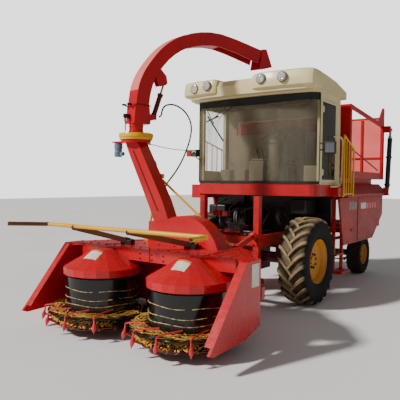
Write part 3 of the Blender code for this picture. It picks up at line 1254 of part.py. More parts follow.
def spout_cable():
    """Cable that hangs between the slewing ring and the cab's front corner."""
    start = CABLE_START + CABLE_WAY * SEAT
    turn = Vector((CABLE_END.x - 0.07, CABLE_END.y - 0.10, CABLE_END.z - 0.01))
    route = [start, start + CABLE_WAY * 0.03, start + CABLE_WAY * 0.06]
    route += [route[2].lerp(turn, share) - Vector((0, 0, 4 * CABLE_SAG * share * (1 - share)))
              for share in (0.15, 0.3, 0.45, 0.6, 0.75, 0.9)]
    route += [turn, CABLE_END + Vector((-0.06, 0, 0)), CABLE_END + Vector((-0.03, 0, 0)), CABLE_END + Vector((-SEAT, 0, 0))]
    return pipe(evenly(route, CABLE_STEP), CABLE_R, 2)


finished("spout_hose", spout_hose(), black_paint, "header")
finished("spout_cable", spout_cable(), black_paint)
finished("spout_base", spout_base(), red_paint, "spout_base")

SPOUT_OUTER = [TILT_HINGE, (-0.02, 3.05), (0.13, 3.33), (0.45, 3.67), (0.90, 3.91), (1.50, 4.02), SPOUT_END]
SPOUT_INNER = [(0.14, SPOUT_FOOT_Z), (0.18, 3.00), (0.30, 3.25), (0.58, 3.54), (0.95, 3.73), (1.50, 3.82), (2.36, 3.72)]


def inset(line, amount, towards):
    """The line moved sideways by an amount, to the side that towards gives."""
    result = []
    for i, point in enumerate(line):
        before, after = line[max(i - 1, 0)], line[min(i + 1, len(line) - 1)]
        run = math.hypot(after[0] - before[0], after[1] - before[1])
        result.append((point[0] + towards * amount * (after[1] - before[1]) / run,
                       point[1] - towards * amount * (after[0] - before[0]) / run))
    return result


def spout():
    """Curved square duct, open at its foot, at its end and under its last part."""
    outer = smooth_line(SPOUT_OUTER, 3)
    inner = smooth_line(SPOUT_INNER, 3)
    half = SPOUT_W / 2
    case = stand_on_spout(plate(outer + inner[::-1], "y", (-half, half)))
    roof = inset(outer, SPOUT_WALL, 1)
    floor = inset(inner, SPOUT_WALL, -1)
    roof[0] = (roof[0][0], outer[0][1] - 0.02)
    floor[0] = (floor[0][0], inner[0][1] - 0.02)
    roof[-1] = (roof[-1][0] + 0.05, roof[-1][1])
    floor[-1] = (floor[-1][0] + 0.05, floor[-1][1])
    passage = stand_on_spout(plate(roof + floor[::-1], "y", (-half + SPOUT_WALL, half - SPOUT_WALL)))
    underside = stand_on_spout(plate([(1.45, 3.70), (2.5, 3.60), (2.5, 3.85), (1.45, 3.87)], "y",
                                     (-half + SPOUT_WALL, half - SPOUT_WALL)))
    ear = [(0.28, 3.26), (0.36, 3.08), (TILT_EYE[0], TILT_EYE[1] - 0.03), (TILT_EYE[0] + 0.03, TILT_EYE[1]),
           (0.48, 3.24), (0.36, 3.34)]
    ears = [stand_on_spout(plate(ear, "y", (y, y + 0.012))) for y in (-0.048, 0.036)]
    case = cut(case, passage, underside)
    return joined(case, *ears)


finished("spout", spout(), red_paint, "spout")


def tilt_cylinder():
    """Barrel and rod that tilt the spout."""
    foot, eye = on_spout(*TILT_BASE), on_spout(*TILT_EYE)
    along = (eye - foot).normalized()
    reach = (eye - foot).length
    side = SPOUT_SIDE
    barrel = joined(rod(foot - side * 0.02, foot + side * 0.02, 0.026, 12),
                    rod(foot, foot + along * (reach - 0.22), 0.030, 16))
    barrel = cut(barrel, rod(foot + along * 0.06, eye, 0.016, 16), rod(foot - side * 0.1, foot + side * 0.1, 0.010, 12))
    piston = joined(rod(foot + along * 0.08, eye, 0.016 - RUN, 16),
                    rod(eye - side * 0.02, eye + side * 0.02, 0.024, 12))
    return barrel, piston


tilt_barrel, tilt_rod = tilt_cylinder()
finished("tilt_barrel", tilt_barrel, dark_red_paint, "tilt_barrel")
finished("tilt_rod", tilt_rod, bright_steel, "tilt_rod")


def deflector():
    """Hood at the spout's end, open towards the spout and below."""
    half = SPOUT_W / 2 + 0.004
    outline = [(2.452, 3.965), (2.56, 3.985), (2.71, 3.71), (2.385, 3.635)]
    hollow = [(2.30, 3.50), (2.40, 3.945), (2.546, 3.965), (2.70, 3.69), (2.60, 3.50)]
    hood = stand_on_spout(plate(outline, "y", (-half, half)))
    inside = stand_on_spout(plate(hollow, "y", (-half + SPOUT_WALL, half - SPOUT_WALL)))
    hinge = stand_on_spout(rod((FLAP_HINGE[0], -half, FLAP_HINGE[1]), (FLAP_HINGE[0], half, FLAP_HINGE[1]), FLAP_R, 10))
    return joined(cut(hood, inside), hinge)


finished("deflector", deflector(), red_paint, "deflector")


# ============================================ the origin's place on the part
bpy.context.view_layer.update()
corners = [part.matrix_world @ vertex.co for part in MACHINE.objects if part.type == "MESH"
           for vertex in part.data.vertices]
lowest = Vector([min(corner[i] for corner in corners) for i in range(3)])
highest = Vector([max(corner[i] for corner in corners) for i in range(3)])
ROOT.location = (-(lowest.x + highest.x) / 2, -(lowest.y + highest.y) / 2, 0)
bpy.context.view_layer.update()
print("origin moved by", [round(value, 4) for value in ROOT.location], "size", highest - lowest)
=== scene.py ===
# %% [markdown]
# # A forage harvester with a two-drum header
# The solid model arrives as a fixed frame of named parts. This script gives every
# part its finish, and adds what is too fine for the solids: tread, rings, straw,
# lamps, wipers, bolts and hoses. New pieces are surfaces worked out with numpy.

# %% The frame
import math
import bmesh
import bpy
import numpy as np
from mathutils import Matrix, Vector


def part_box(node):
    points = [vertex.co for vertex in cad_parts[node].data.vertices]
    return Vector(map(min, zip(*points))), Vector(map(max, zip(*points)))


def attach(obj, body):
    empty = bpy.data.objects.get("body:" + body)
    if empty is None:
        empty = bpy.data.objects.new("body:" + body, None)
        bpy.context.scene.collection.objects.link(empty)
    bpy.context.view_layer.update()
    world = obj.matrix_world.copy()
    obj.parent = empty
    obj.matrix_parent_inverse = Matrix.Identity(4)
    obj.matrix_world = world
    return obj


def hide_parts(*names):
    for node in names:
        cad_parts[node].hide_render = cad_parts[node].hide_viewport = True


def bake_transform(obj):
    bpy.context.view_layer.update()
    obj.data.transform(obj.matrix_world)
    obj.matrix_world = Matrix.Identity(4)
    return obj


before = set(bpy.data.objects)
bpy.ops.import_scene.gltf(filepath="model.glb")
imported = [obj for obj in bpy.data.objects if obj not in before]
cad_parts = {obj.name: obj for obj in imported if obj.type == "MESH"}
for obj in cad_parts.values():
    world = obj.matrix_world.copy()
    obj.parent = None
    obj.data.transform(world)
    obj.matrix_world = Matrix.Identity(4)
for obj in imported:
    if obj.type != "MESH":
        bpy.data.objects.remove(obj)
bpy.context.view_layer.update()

# %% [markdown]
# ## Where things are
# Places are written from the point on the ground below the front axle, because a
# machine is drawn from its axle: x to its left, y to its rear, z up. The two front
# tyres say where that point lies in the frame.

# %% The point below the front axle
left_tyre, right_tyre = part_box("front_tyre_left"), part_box("front_tyre_right")
AXLE = np.array([(left_tyre[1][0] + right_tyre[0][0]) / 2, (left_tyre[0][1] + left_tyre[1][1]) / 2, 0.0])
SIDES = (("left", 1), ("right", -1))
print("axle point in the frame:", AXLE.round(4))

# %% [markdown]
# ## Surfaces from numbers
# A surface is a grid of points, and its faces join neighbours. One function numbers
# the faces, and a few others lay the points: turned, carried along a path, or boxed.


# %% Grids, and a mesh piece made from them
def grid_faces(rows, columns, round_rows=False, round_columns=False):
    """Quads between neighbours of a grid numbered row by row; a round direction joins its end to its start."""
    i = np.arange(rows if round_rows else rows - 1)[:, None]
    j = np.arange(columns if round_columns else columns - 1)[None, :]
    i_next, j_next = (i + 1) % rows, (j + 1) % columns
    quads = np.stack([i * columns + j, i * columns + j_next, i_next * columns + j_next,
                      i_next * columns + j], -1)
    return quads.reshape(-1, 4)


def piece(name, parts, material, body, sharp=35, bevel=0.0):
    """One object from (points, faces) parts given from the axle point. Doubles are merged, which closes
    seams and poles, and then faces are turned outwards."""
    points = np.concatenate([part[0] for part in parts]) + AXLE
    starts = np.cumsum([0] + [len(part[0]) for part in parts[:-1]])
    faces = [face for part, start in zip(parts,
                                         starts) for group in part[1] for face in (group + start).tolist()]
    mesh = bpy.data.meshes.new(name)
    mesh.from_pydata(points.tolist(), [], faces)
    form = bmesh.new()
    form.from_mesh(mesh)
    bmesh.ops.remove_doubles(form, verts=form.verts, dist=1e-6)
    bmesh.ops.dissolve_degenerate(form, edges=form.edges, dist=1e-7)
    bmesh.ops.recalc_face_normals(form, faces=form.faces)
    form.to_mesh(mesh)
    form.free()
    mesh.shade_smooth()
    mesh.set_sharp_from_angle(angle=math.radians(sharp))
    made = bpy.data.objects.new(name, mesh)
    bpy.context.scene.collection.objects.link(made)
    mesh.materials.append(material)
    if bevel:
        rounding = made.modifiers.new("rounded edges", "BEVEL")
        rounding.width, rounding.segments, rounding.angle_limit = bevel, 3, math.radians(40)
    if body:
        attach(made, body)
    return made


# %% [markdown]
# Barrels, flanges, pins and lamps are round about one line. A cylinder or cone from the
# menu would do for one of them. One profile turned about any line makes them all.

# %% Turned shapes
def unit(way):
    way = np.asarray(way, float)
    return way / np.linalg.norm(way)


def square_ways(axis):
    """Two directions square to an axis and to each other."""
    axis = unit(axis)
    first = unit(np.cross(axis, (0, 0, 1) if abs(axis[2]) < 0.9 else (0, 1, 0)))
    return axis, first, np.cross(axis, first)


def lathe(profile, centre, axis=(0, 0, 1), steps=48, closed=False):
    """A profile of (radius r, height h) turned by v: centre + h a + r (cos v b + sin v c), where a is the
    axis and b, c are square to it."""
    a, b, c = square_ways(axis)
    r, h = np.asarray(profile, float).T
    v = np.linspace(0, 2 * np.pi, steps, endpoint=False)
    ring = np.cos(v)[:, None] * b + np.sin(v)[:, None] * c
    points = np.asarray(centre, float) + h[:, None, None] * a + r[:, None, None] * ring[None]
    return points.reshape(-1, 3), [grid_faces(len(r), steps, closed, True)]


def rod(start, end, radius, steps=16):
    """A plain round rod with flat ends."""
    start, end = np.asarray(start, float), np.asarray(end, float)
    length = np.linalg.norm(end - start)
    return lathe([(0, 0), (radius, 0), (radius, length), (0, length)], start, end - start, steps)


def ring(radius, thickness, centre, axis=(0, 0, 1), steps=48, round_steps=8):
    """A torus: r = radius + thickness cos w and h = thickness sin w, turned round the axis."""
    w = np.linspace(0, 2 * np.pi, round_steps, endpoint=False)
    return lathe(np.c_[radius + thickness * np.cos(w), thickness * np.sin(w)], centre, axis, steps, True)


# %% [markdown]
# Strips and brackets are boxes, and hoses and tubes are one circle carried along a line.
# A curve object could make a tube, but the export wants meshes, so the grid is made here.

# %% Boxes, sweeps and smooth lines
BOX_SIGNS = np.array([(i, j, k) for i in (-1, 1) for j in (-1, 1) for k in (-1, 1)], float)
BOX_FACES = np.array([(0, 1, 3, 2), (4, 6, 7, 5), (0, 4, 5, 1), (2, 3, 7, 6), (0, 2, 6, 4), (1, 5, 7, 3)])


def block(centre, size, way=(1, 0, 0), up=(0, 0, 1)):
    """A box: centre plus or minus half its size along way, across and up, with eight sign triples as the grid."""
    x = unit(way)
    y = unit(np.cross(up, x))
    ways = np.array([x, y, np.cross(x, y)])
    return np.asarray(centre, float) + (BOX_SIGNS * np.asarray(size) / 2) @ ways, [BOX_FACES]


def limits(x, y, z):
    """A box between two limits along each axis."""
    low, high = np.array([x[0], y[0], z[0]]), np.array([x[1], y[1], z[1]])
    return block((low + high) / 2, high - low)


def sweep(path, outline, up=(0, 0, 1)):
    """An outline (p, q) carried along a path: point + p n + q b, where t is the path's direction,
    n = t x up made square and b = n x t. The ends are closed with one face each."""
    path, outline = np.asarray(path, float), np.asarray(outline, float)
    t = np.gradient(path, axis=0)
    t /= np.linalg.norm(t, axis=1)[:, None]
    n = np.cross(t, up)
    n /= np.linalg.norm(n, axis=1)[:, None]
    b = np.cross(n, t)
    points = path[:, None] + outline[None, :, 0, None] * n[:, None] + outline[None, :, 1, None] * b[:, None]
    count = len(outline)
    ends = np.array([np.arange(count), np.arange(count)[::-1] + (len(path) - 1) * count])
    return points.reshape(-1, 3), [grid_faces(len(path), count, False, True), ends]


def circle(radius, steps=10):
    w = np.linspace(0, 2 * np.pi, steps, endpoint=False)
    return np.c_[radius * np.cos(w), radius * np.sin(w)]


def smooth_line(knots, step):
    """A Catmull-Rom curve through the knots, 0.5 (2q + (r - p) t + (2p - 5q + 4r - s) t^2 +
    (3q - p - 3r + s) t^3), read again at even distances of about one step."""
    k = np.asarray([knots[0], *knots, knots[-1]], float)
    t = np.linspace(0, 1, 24, endpoint=False)[None, :, None]
    p, q, r, s = (k[i:len(k) - 3 + i][:, None] for i in range(4))
    line = 0.5 * (2 * q + (r - p) * t + (2 * p - 5 * q + 4 * r - s) * t**2 + (3 * q - p - 3 * r + s) * t**3)
    line = np.concatenate([line.reshape(-1, 3), k[-1:]])
    run = np.concatenate([[0], np.cumsum(np.linalg.norm(np.diff(line, axis=0), axis=1))])
    even = np.linspace(0, run[-1], max(3, round(run[-1] / step)) + 1)
    return np.stack([np.interp(even, run, line[:, axis]) for axis in range(3)], -1)


def bolts(places, axis, radius=0.011, height=0.008):
    """Hexagon heads: rings of six at the foot, at the rim and a smaller one on top, repeated at each place."""
    a, b, c = square_ways(axis)
    w = np.arange(6) * np.pi / 3
    flat = np.cos(w)[:, None] * b + np.sin(w)[:, None] * c
    head = np.concatenate([radius * flat, radius * flat + 0.75 * height * a,
                           0.8 * radius * flat + height * a])
    points = (np.asarray(places, float)[:, None] + head[None]).reshape(-1, 3)
    starts = np.arange(len(places))[:, None, None] * 18
    sides = (grid_faces(3, 6, False, True)[None] + starts).reshape(-1, 4)
    caps = (np.array([np.arange(6), np.arange(12, 18)[::-1]])[None] + starts).reshape(-1, 6)
    return points, [sides, caps]


# %% [markdown]
# ## Finishes
# Each finish starts from what the real one is. Colours are sRGB hex values, turned to
# linear by one function, and one small function adds a node with its settings.


# %% Colour and nodes
def linear(code):
    """sRGB to linear: c / 12.92 up to 0.04045, and ((c + 0.055) / 1.055) ** 2.4 above."""
    parts = [int(code[i:i + 2], 16) / 255 for i in (1, 3, 5)]
    return (*[c / 12.92 if c <= 0.04045 else ((c + 0.055) / 1.055) ** 2.4 for c in parts], 1.0)


def add(tree, kind, settings):
    """Adds a node. A key is a property, or a socket's name or number; a socket as a value is linked."""
    node = tree.nodes.new(kind)
    for key, value in settings.items():
        if isinstance(key, str) and key not in node.inputs:
            setattr(node, key, value)
        elif isinstance(value, bpy.types.NodeSocket):
            tree.links.new(value, node.inputs[key])
        else:
            node.inputs[key].default_value = value
    return node


def new_material(name):
    material = bpy.data.materials.new(name)
    material.use_nodes = True
    tree = material.node_tree
    place = add(tree, "ShaderNodeTexCoord", {}).outputs["Object"]
    return material, tree, tree.nodes["Principled BSDF"], place


# %% [markdown]
# ### Alkyd enamel on sheet steel
# Farm machines are sprayed with alkyd enamel. It is glossy where it is clean, its tone
# drifts a little from sheet to sheet, and road dust dulls it low down. Patches about
# 0.6 m wide give the drift, a finer noise breaks the dust up, and a 4 mm ripple is the
# spray's orange peel, drawn coarser than the real 1 mm so that it shows.


# %% Enamel
def enamel(name, main, worn, roughness=0.32, dust=0.35, dust_top=1.9, dust_code="#8d7a60", speckle=0.0):
    material, tree, shader, place = new_material(name)
    patches = add(tree, "ShaderNodeTexNoise",
                  {"Vector": place, "Scale": 1.7, "Detail": 6.0, "Roughness": 0.62})
    spread = add(tree, "ShaderNodeMapRange", {"Value": patches.outputs[0], "From Min": 0.35,
                                              "From Max": 0.68})
    tone = add(tree, "ShaderNodeMix", {"data_type": "RGBA", 0: spread.outputs[0], 6: linear(main),
                                       7: linear(worn)})
    height = add(tree, "ShaderNodeSeparateXYZ", {"Vector": place}).outputs["Z"]
    low = add(tree, "ShaderNodeMapRange", {"Value": height, "From Min": dust_top, "From Max": 0.1,
                                           "To Min": speckle, "To Max": dust})
    grit = add(tree, "ShaderNodeTexNoise", {"Vector": place, "Scale": 16.0, "Detail": 9.0, "Roughness": 0.7})
    grains = add(tree, "ShaderNodeMapRange", {"Value": grit.outputs[0], "From Min": 0.4, "From Max": 0.7})
    film = add(tree, "ShaderNodeMath", {"operation": "MULTIPLY", 0: low.outputs[0],
                                        1: grains.outputs[0]}).outputs[0]
    colour = add(tree, "ShaderNodeMix", {"data_type": "RGBA", 0: film, 6: tone.outputs[2],
                                         7: linear(dust_code)})
    rough = add(tree, "ShaderNodeMapRange", {"Value": film, "From Max": 0.4, "To Min": roughness,
                                             "To Max": 0.85})
    peel = add(tree, "ShaderNodeTexNoise", {"Vector": place, "Scale": 250.0, "Detail": 2.0})
    bump = add(tree, "ShaderNodeBump", {"Strength": 0.12, "Distance": 0.001, "Height": peel.outputs[0]})
    tree.links.new(colour.outputs[2], shader.inputs["Base Color"])
    tree.links.new(rough.outputs[0], shader.inputs["Roughness"])
    tree.links.new(bump.outputs[0], shader.inputs["Normal"])
    return material


RED = enamel("red alkyd enamel", "#c80a18", "#b00614")                                  # the body colour
FRESH_RED = enamel("fresh red enamel", "#cc0a1c", "#b80616", roughness=0.24, dust=0.08)  # header, repainted each season
DARK_RED = enamel("dark red enamel", "#6a0610", "#50040c", roughness=0.4, dust=0.12)                # axles, tines
# Pale pink: on the bin's gate, the bin's rear sheet and the spout's outer skin it is a painted highlight, the sunlit
# look of those red faces; on the rear cover bands it is the bands' own print colour.
PINK_FILM_AND_PAINTED_HIGHLIGHT = enamel("pink film and painted highlight enamel", "#f07a74", "#e8605c", roughness=0.45, dust=0.05)
COVER_RED = enamel("dusty red enamel", "#b81820", "#a01c20", roughness=0.42, dust=0.45, dust_top=2.6,
                   speckle=0.15)
YELLOW = enamel("yellow enamel", "#f2b90e", "#e2a508", roughness=0.3, dust=0.2)
RIM_YELLOW = enamel("chrome yellow wheel enamel", "#dd9206", "#c87f05", roughness=0.36, dust=0.45,
                    dust_top=1.4)
CREAM = enamel("cream enamel", "#e6d9a6", "#d8ca95", roughness=0.3, dust=0.2, dust_top=3.4,
               dust_code="#8f805c")
BLACK = enamel("black enamel", "#0a0a0b", "#111010", roughness=0.38, dust=0.12)
GLOSS_BLACK = enamel("polished black enamel", "#060607", "#0a0a0a", roughness=0.16, dust=0.03)
SPEAR_RED = enamel("scuffed red enamel", "#e03040", "#c01e2c", roughness=0.35, dust=0.1)
BROWN = enamel("brown primer", "#7a4a1c", "#633a15", roughness=0.5, dust=0.3)
print("enamels ready")

# %% [markdown]
# ### Rubber, steel, glass and the rest
# Tyre rubber is nearly black with a dry sheen. Dust sticks to what touches the soil,
# so the finish measures each point's distance from the wheel's axle and pales the lugs.


# %% Tyre rubber
def tyre_rubber(name, axle_y, axle_z, radius, dusty):
    material, tree, shader, place = new_material(name)
    centred = add(tree, "ShaderNodeVectorMath", {"operation": "SUBTRACT", 0: place,
                                                  1: (0, axle_y + AXLE[1], axle_z)}).outputs[0]
    flat = add(tree, "ShaderNodeVectorMath", {"operation": "MULTIPLY", 0: centred, 1: (0, 1, 1)}).outputs[0]
    reach = add(tree, "ShaderNodeVectorMath", {"operation": "LENGTH", 0: flat}).outputs["Value"]
    lug = add(tree, "ShaderNodeMapRange", {"Value": reach, "From Min": radius * 0.90,
                                           "From Max": radius * 0.985}).outputs[0]
    clods = add(tree, "ShaderNodeTexNoise", {"Vector": place, "Scale": 9.0, "Detail": 10.0,
                                             "Roughness": 0.7}).outputs[0]
    patchy = add(tree, "ShaderNodeMapRange", {"Value": clods, "From Min": 0.3, "From Max": 0.6,
                                              "To Min": 0.35 * dusty, "To Max": dusty}).outputs[0]
    film = add(tree, "ShaderNodeMath", {"operation": "MULTIPLY", 0: lug, 1: patchy}).outputs[0]
    worn = add(tree, "ShaderNodeMix", {"data_type": "RGBA", 0: clods, 6: linear("#8b7656"),
                                       7: linear("#b39a72")})
    colour = add(tree, "ShaderNodeMix", {"data_type": "RGBA", 0: film, 6: linear("#12110f"),
                                         7: worn.outputs[2]})
    crumbs = add(tree, "ShaderNodeTexNoise", {"Vector": place, "Scale": 90.0, "Detail": 6.0}).outputs[0]
    bump = add(tree, "ShaderNodeBump", {"Strength": 0.5, "Distance": 0.003, "Height": crumbs})
    tree.links.new(colour.outputs[2], shader.inputs["Base Color"])
    tree.links.new(bump.outputs[0], shader.inputs["Normal"])
    shader.inputs["Roughness"].default_value = 0.88
    return material


FRONT_RUBBER = tyre_rubber("dusty tractor rubber", 0.0, 0.632, 0.632, 1.0)
REAR_RUBBER = tyre_rubber("implement tyre rubber", 3.05, 0.38, 0.38, 0.12)


# %% Plain finishes with one noise
def plain(name, light, dark, roughness, scale, metallic=0.0, bump=0.1, depth=0.001):
    """A finish whose tone and relief follow one noise; scale is its patches per metre."""
    material, tree, shader, place = new_material(name)
    noise = add(tree, "ShaderNodeTexNoise", {"Vector": place, "Scale": scale, "Detail": 6.0}).outputs[0]
    spread = add(tree, "ShaderNodeMapRange", {"Value": noise, "From Min": 0.35, "From Max": 0.65})
    colour = add(tree, "ShaderNodeMix", {"data_type": "RGBA", 0: spread.outputs[0], 6: linear(dark),
                                         7: linear(light)})
    relief = add(tree, "ShaderNodeBump", {"Strength": bump, "Distance": depth, "Height": noise})
    tree.links.new(colour.outputs[2], shader.inputs["Base Color"])
    tree.links.new(relief.outputs[0], shader.inputs["Normal"])
    shader.inputs["Roughness"].default_value = roughness
    shader.inputs["Metallic"].default_value = metallic
    return material


STEEL = plain("hard-chromed steel", "#d9d9d6", "#bdbdb9", 0.16, 30.0, metallic=1.0)        # cylinder rods
IRON = plain("oily grey iron", "#6d6c69", "#3c3a37", 0.55, 22.0, metallic=0.3, bump=0.4)   # castings
HOSE = plain("nitrile hose rubber", "#1a1a1b", "#0d0d0e", 0.42, 60.0)
BLACK_PLASTIC = plain("black polypropylene", "#17171a", "#0e0e10", 0.5, 180.0, bump=0.25)
GREY_PLASTIC = plain("grey ABS", "#8a8168", "#7a725c", 0.55, 160.0, bump=0.2)
VINYL = plain("black seat vinyl", "#2b2a2c", "#1c1b1d", 0.6, 220.0, bump=0.4, depth=0.002)
LINING = plain("tan cab lining", "#8d8064", "#7a6e56", 0.85, 120.0, bump=0.3)
STRAW = plain("dry straw", "#ffd067", "#d99a2c", 0.7, 40.0, bump=0.3)
RED_STRAW = plain("chaff on steel", "#cdb98a", "#5d4d2e", 0.8, 25.0, bump=0.6, depth=0.004)
CHROME = plain("vacuum-metallised reflector", "#e8e6e0", "#cfccc4", 0.08, 12.0, metallic=1.0)
WHITE_FILM = plain("white vinyl film", "#e9e6df", "#d6d1c6", 0.4, 14.0)
GREY_FILM = plain("grey vinyl film", "#8d9388", "#777d74", 0.45, 14.0)
ORANGE_FILM = plain("orange vinyl film", "#e58a2c", "#cf7621", 0.45, 14.0)
AMBER = plain("amber polycarbonate", "#b5421a", "#96300f", 0.25, 30.0)
BLUE_GREY = plain("blue-grey hammer paint", "#7f97a8", "#5d7383", 0.35, 90.0, metallic=0.3, bump=0.4)
MIRROR = plain("mirror glass", "#dfe3e4", "#cdd3d5", 0.03, 3.0, metallic=1.0, bump=0.0)


# %% Tinted glass
def tinted_glass(name, code, alpha):
    """Thin tinted glass: a see-through share, and dust that hides a little more of what is behind."""
    material, tree, shader, place = new_material(name)
    streaks = add(tree, "ShaderNodeMapping", {"Vector": place, "Scale": (6.0, 6.0, 1.2)}).outputs[0]
    film = add(tree, "ShaderNodeTexNoise", {"Vector": streaks, "Scale": 1.5, "Detail": 6.0}).outputs[0]
    share = add(tree, "ShaderNodeMapRange", {"Value": film, "From Min": 0.35, "From Max": 0.7,
                                             "To Min": alpha, "To Max": alpha + 0.12}).outputs[0]
    tree.links.new(share, shader.inputs["Alpha"])
    shader.inputs["Base Color"].default_value = linear(code)
    shader.inputs["Roughness"].default_value = 0.04
    return material


GLASS = tinted_glass("tinted safety glass", "#8c8876", 0.14)
# Dark, mostly opaque glass: painted shade, the darkness of the shaded cab seen through the door glass.
PAINTED_SHADE_GLASS = tinted_glass("dark glass as painted cab shade", "#3b3c38", 0.62)
LENS = tinted_glass("lamp glass", "#d9dbd8", 0.25)
print("materials:", len(bpy.data.materials))

# %% [markdown]
# ## Finishes on the solid parts
# Parts whose shape is right keep it, and only their material slot changes.

# %% Parts and their finishes
FINISH = {
    RED: ["chassis_frame", "ladder", "lower_links", "upper_links", "spout_base", "spout", "deflector",
          "discharge_duct", "cab_base", "bin_body"],
    FRESH_RED: ["header_frame", "divider_left", "divider_right", "chopper_housing"],
    DARK_RED: ["front_axle", "tilt_barrel"],
    COVER_RED: ["side_cover_front_left", "side_cover_rear_left", "side_cover_front_right",
                "side_cover_rear_right",
                "bin_bed"],
    # The bin gate's pale pink is a painted highlight: the sunlit look of its red inner face.
    PINK_FILM_AND_PAINTED_HIGHLIGHT: ["bin_gate"],
    YELLOW: ["railing_left", "railing_right", "duct_stays"],
    CREAM: ["cab_shell", "cab_roof", "cab_door"],
    BLACK: ["rear_axle", "rear_knuckle_left", "rear_knuckle_right", "lift_barrels", "tip_barrel"],
    STEEL: ["lift_rods", "tip_stage", "tip_rod", "tilt_rod"],
    IRON: ["engine", "tie_rod"],
    GLASS: ["right_window", "rear_window", "door_glass"],
}
for finish, nodes in FINISH.items():
    for node in nodes:
        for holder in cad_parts[node].material_slots:
            holder.material = finish

# %% [markdown]
# ## Wheels
# A tractor tyre is a rounded carcass with bars that lean to the middle from each
# shoulder. The carcass is a turned profile; a bar is a short sweep whose angle round
# the axle grows as it nears the middle, and its height follows the crown.


# %% Carcass and bars
def tyre(name, node, centre, radius, width, bead, bars, bar_height, material, body):
    """Carcass: a closed profile turned about the axle. Bar k, at share s from the middle to the shoulder: across =
    0.495 width s, angle = a_k + 0.3 (1 - s)^1.5, radius falls over the shoulder, with four corners a station."""
    half = width / 2
    crown = radius - bar_height
    profile = [(bead * 1.03, -0.78 * half), (bead * 1.10, -0.90 * half),
               (bead + 0.45 * (crown - bead), -0.99 * half),
               (crown * 0.91, -0.97 * half), (crown * 0.965, -0.86 * half), (crown * 0.99, -0.55 * half),
               (crown, 0),
               (crown * 0.99, 0.55 * half), (crown * 0.965, 0.86 * half), (crown * 0.91, 0.97 * half),
               (bead + 0.45 * (crown - bead), 0.99 * half), (bead * 1.10, 0.90 * half),
               (bead * 1.03, 0.78 * half),
               (bead * 1.005, 0.74 * half), (bead * 1.005, -0.74 * half)]
    parts = [lathe(profile, centre, (1, 0, 0), 96, True)]
    share = np.array([-0.12, 0.04, 0.20, 0.40, 0.60, 0.80, 0.93, 1.0])[None, :, None]
    reach_share = np.array([1.0, 1.0, 1.0, 0.998, 0.992, 0.976, 0.952, 0.885])[None, :, None]
    k = np.arange(2 * bars)[:, None, None]
    side = np.where(k % 2 == 0, 1.0, -1.0)
    corner = np.array([0, 1, 2, 3])[None, None, :]
    thick = 0.058 * radius / 0.632
    edge = np.array([-0.62, -0.40, 0.40, 0.62])[corner] * thick / radius
    lift = np.where((corner == 1) | (corner == 2), 0.0, 1.0)
    angle = k * np.pi / bars + 0.30 * (1 - share) ** 1.5 + edge
    reach = radius * reach_share - lift * (bar_height + 0.012 * radius)
    across = side * share * half * 0.99
    points = np.stack([across + 0 * angle, reach * np.cos(angle), reach * np.sin(angle)], -1)
    count = share.shape[1]
    quads = grid_faces(count, 4, False, True)
    ends = np.array([[0, 1, 2, 3], [4 * count - 1, 4 * count - 2, 4 * count - 3, 4 * count - 4]])
    one = np.concatenate([quads, ends])
    faces = (one[None] + (np.arange(2 * bars) * 4 * count)[:, None, None]).reshape(-1, 4)
    parts.append((points.reshape(-1, 3) + np.asarray(centre, float), [faces]))
    made = piece(name, parts, material, body, sharp=40)
    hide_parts(node)
    return made


def rim(name, node, centre, width, bead, sign, stub, material, body, nuts):
    """A rolled rim with a dished disc: one closed profile turned about the axle, then nuts on a circle."""
    half = width / 2
    edge, wall, dish, hub = 0.80 * half + 0.012, 0.012, 0.40 * half, 0.34 * bead
    well = bead - 0.001
    profile = [(well - 0.004, edge), (well - 0.030 * bead, edge), (well - 0.05 * bead, 0.90 * edge),
               (well - 0.11 * bead, 0.82 * edge), (well - 0.14 * bead, dish + 0.05),
               (well - 0.20 * bead, dish + 0.014),
               (0.66 * bead, dish + 0.002), (0.48 * bead, dish - 0.002), (0.22 * bead, dish),
               (0.20 * bead, dish + 0.012),
               (0.14 * bead, dish + 0.018), (0, dish + 0.018), (0, stub), (hub, stub),
               (hub, dish - wall - 0.03), (well - 0.20 * bead, dish - wall - 0.02),
               (well - 0.13 * bead, -0.72 * edge),
               (well - 0.05 * bead, -0.86 * edge), (well - 0.03 * bead, -edge), (well - 0.004, -edge),
               (well, -0.9 * edge),
               (well, 0.9 * edge)]
    made = piece(name, [lathe(profile, centre, (sign, 0, 0), 72, True)], material, body,
                 sharp=30)
    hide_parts(node)
    turn = np.arange(nuts) * 2 * np.pi / nuts + 0.2
    circle_r = 0.31 * bead
    spots = np.c_[np.full(nuts, sign * (dish - 0.003)), circle_r * np.cos(turn),
                  circle_r * np.sin(turn)] + centre
    piece(name + "_nuts", [bolts(spots, (sign, 0, 0), 0.045 * bead + 0.004, 0.022)], BLACK, body)
    return made


for side, sign in SIDES:
    centre = (sign * 0.87, 0, 0.632)
    tyre("lugged_tyre_" + side, "front_tyre_" + side, centre, 0.632, 0.42, 0.325, 22, 0.040, FRONT_RUBBER,
         "front_wheel_" + side)
    rim("dished_rim_" + side, "front_rim_" + side, centre, 0.42, 0.325, sign, 0.70 - 0.87, RIM_YELLOW,
        "front_wheel_" + side, 8)
    centre = (sign * 0.65, 3.05, 0.38)
    tyre("steered_tyre_" + side, "rear_tyre_" + side, centre, 0.38, 0.26, 0.20, 22, 0.012, REAR_RUBBER,
         "rear_wheel_" + side)
    rim("steered_rim_" + side, "rear_rim_" + side, centre, 0.26, 0.20, sign, 0.535 - 0.65, RIM_YELLOW,
        "rear_wheel_" + side, 6)
print("wheels dressed")

# %% [markdown]
# ## Drums
# Two drums pull the stalks in over fast knife discs. A black barrel wears to a gloss,
# thin hoops round it carry straw, and chaff gathers on the disc. A straw is a bent
# three-sided sliver; all of them are made at once as one array.

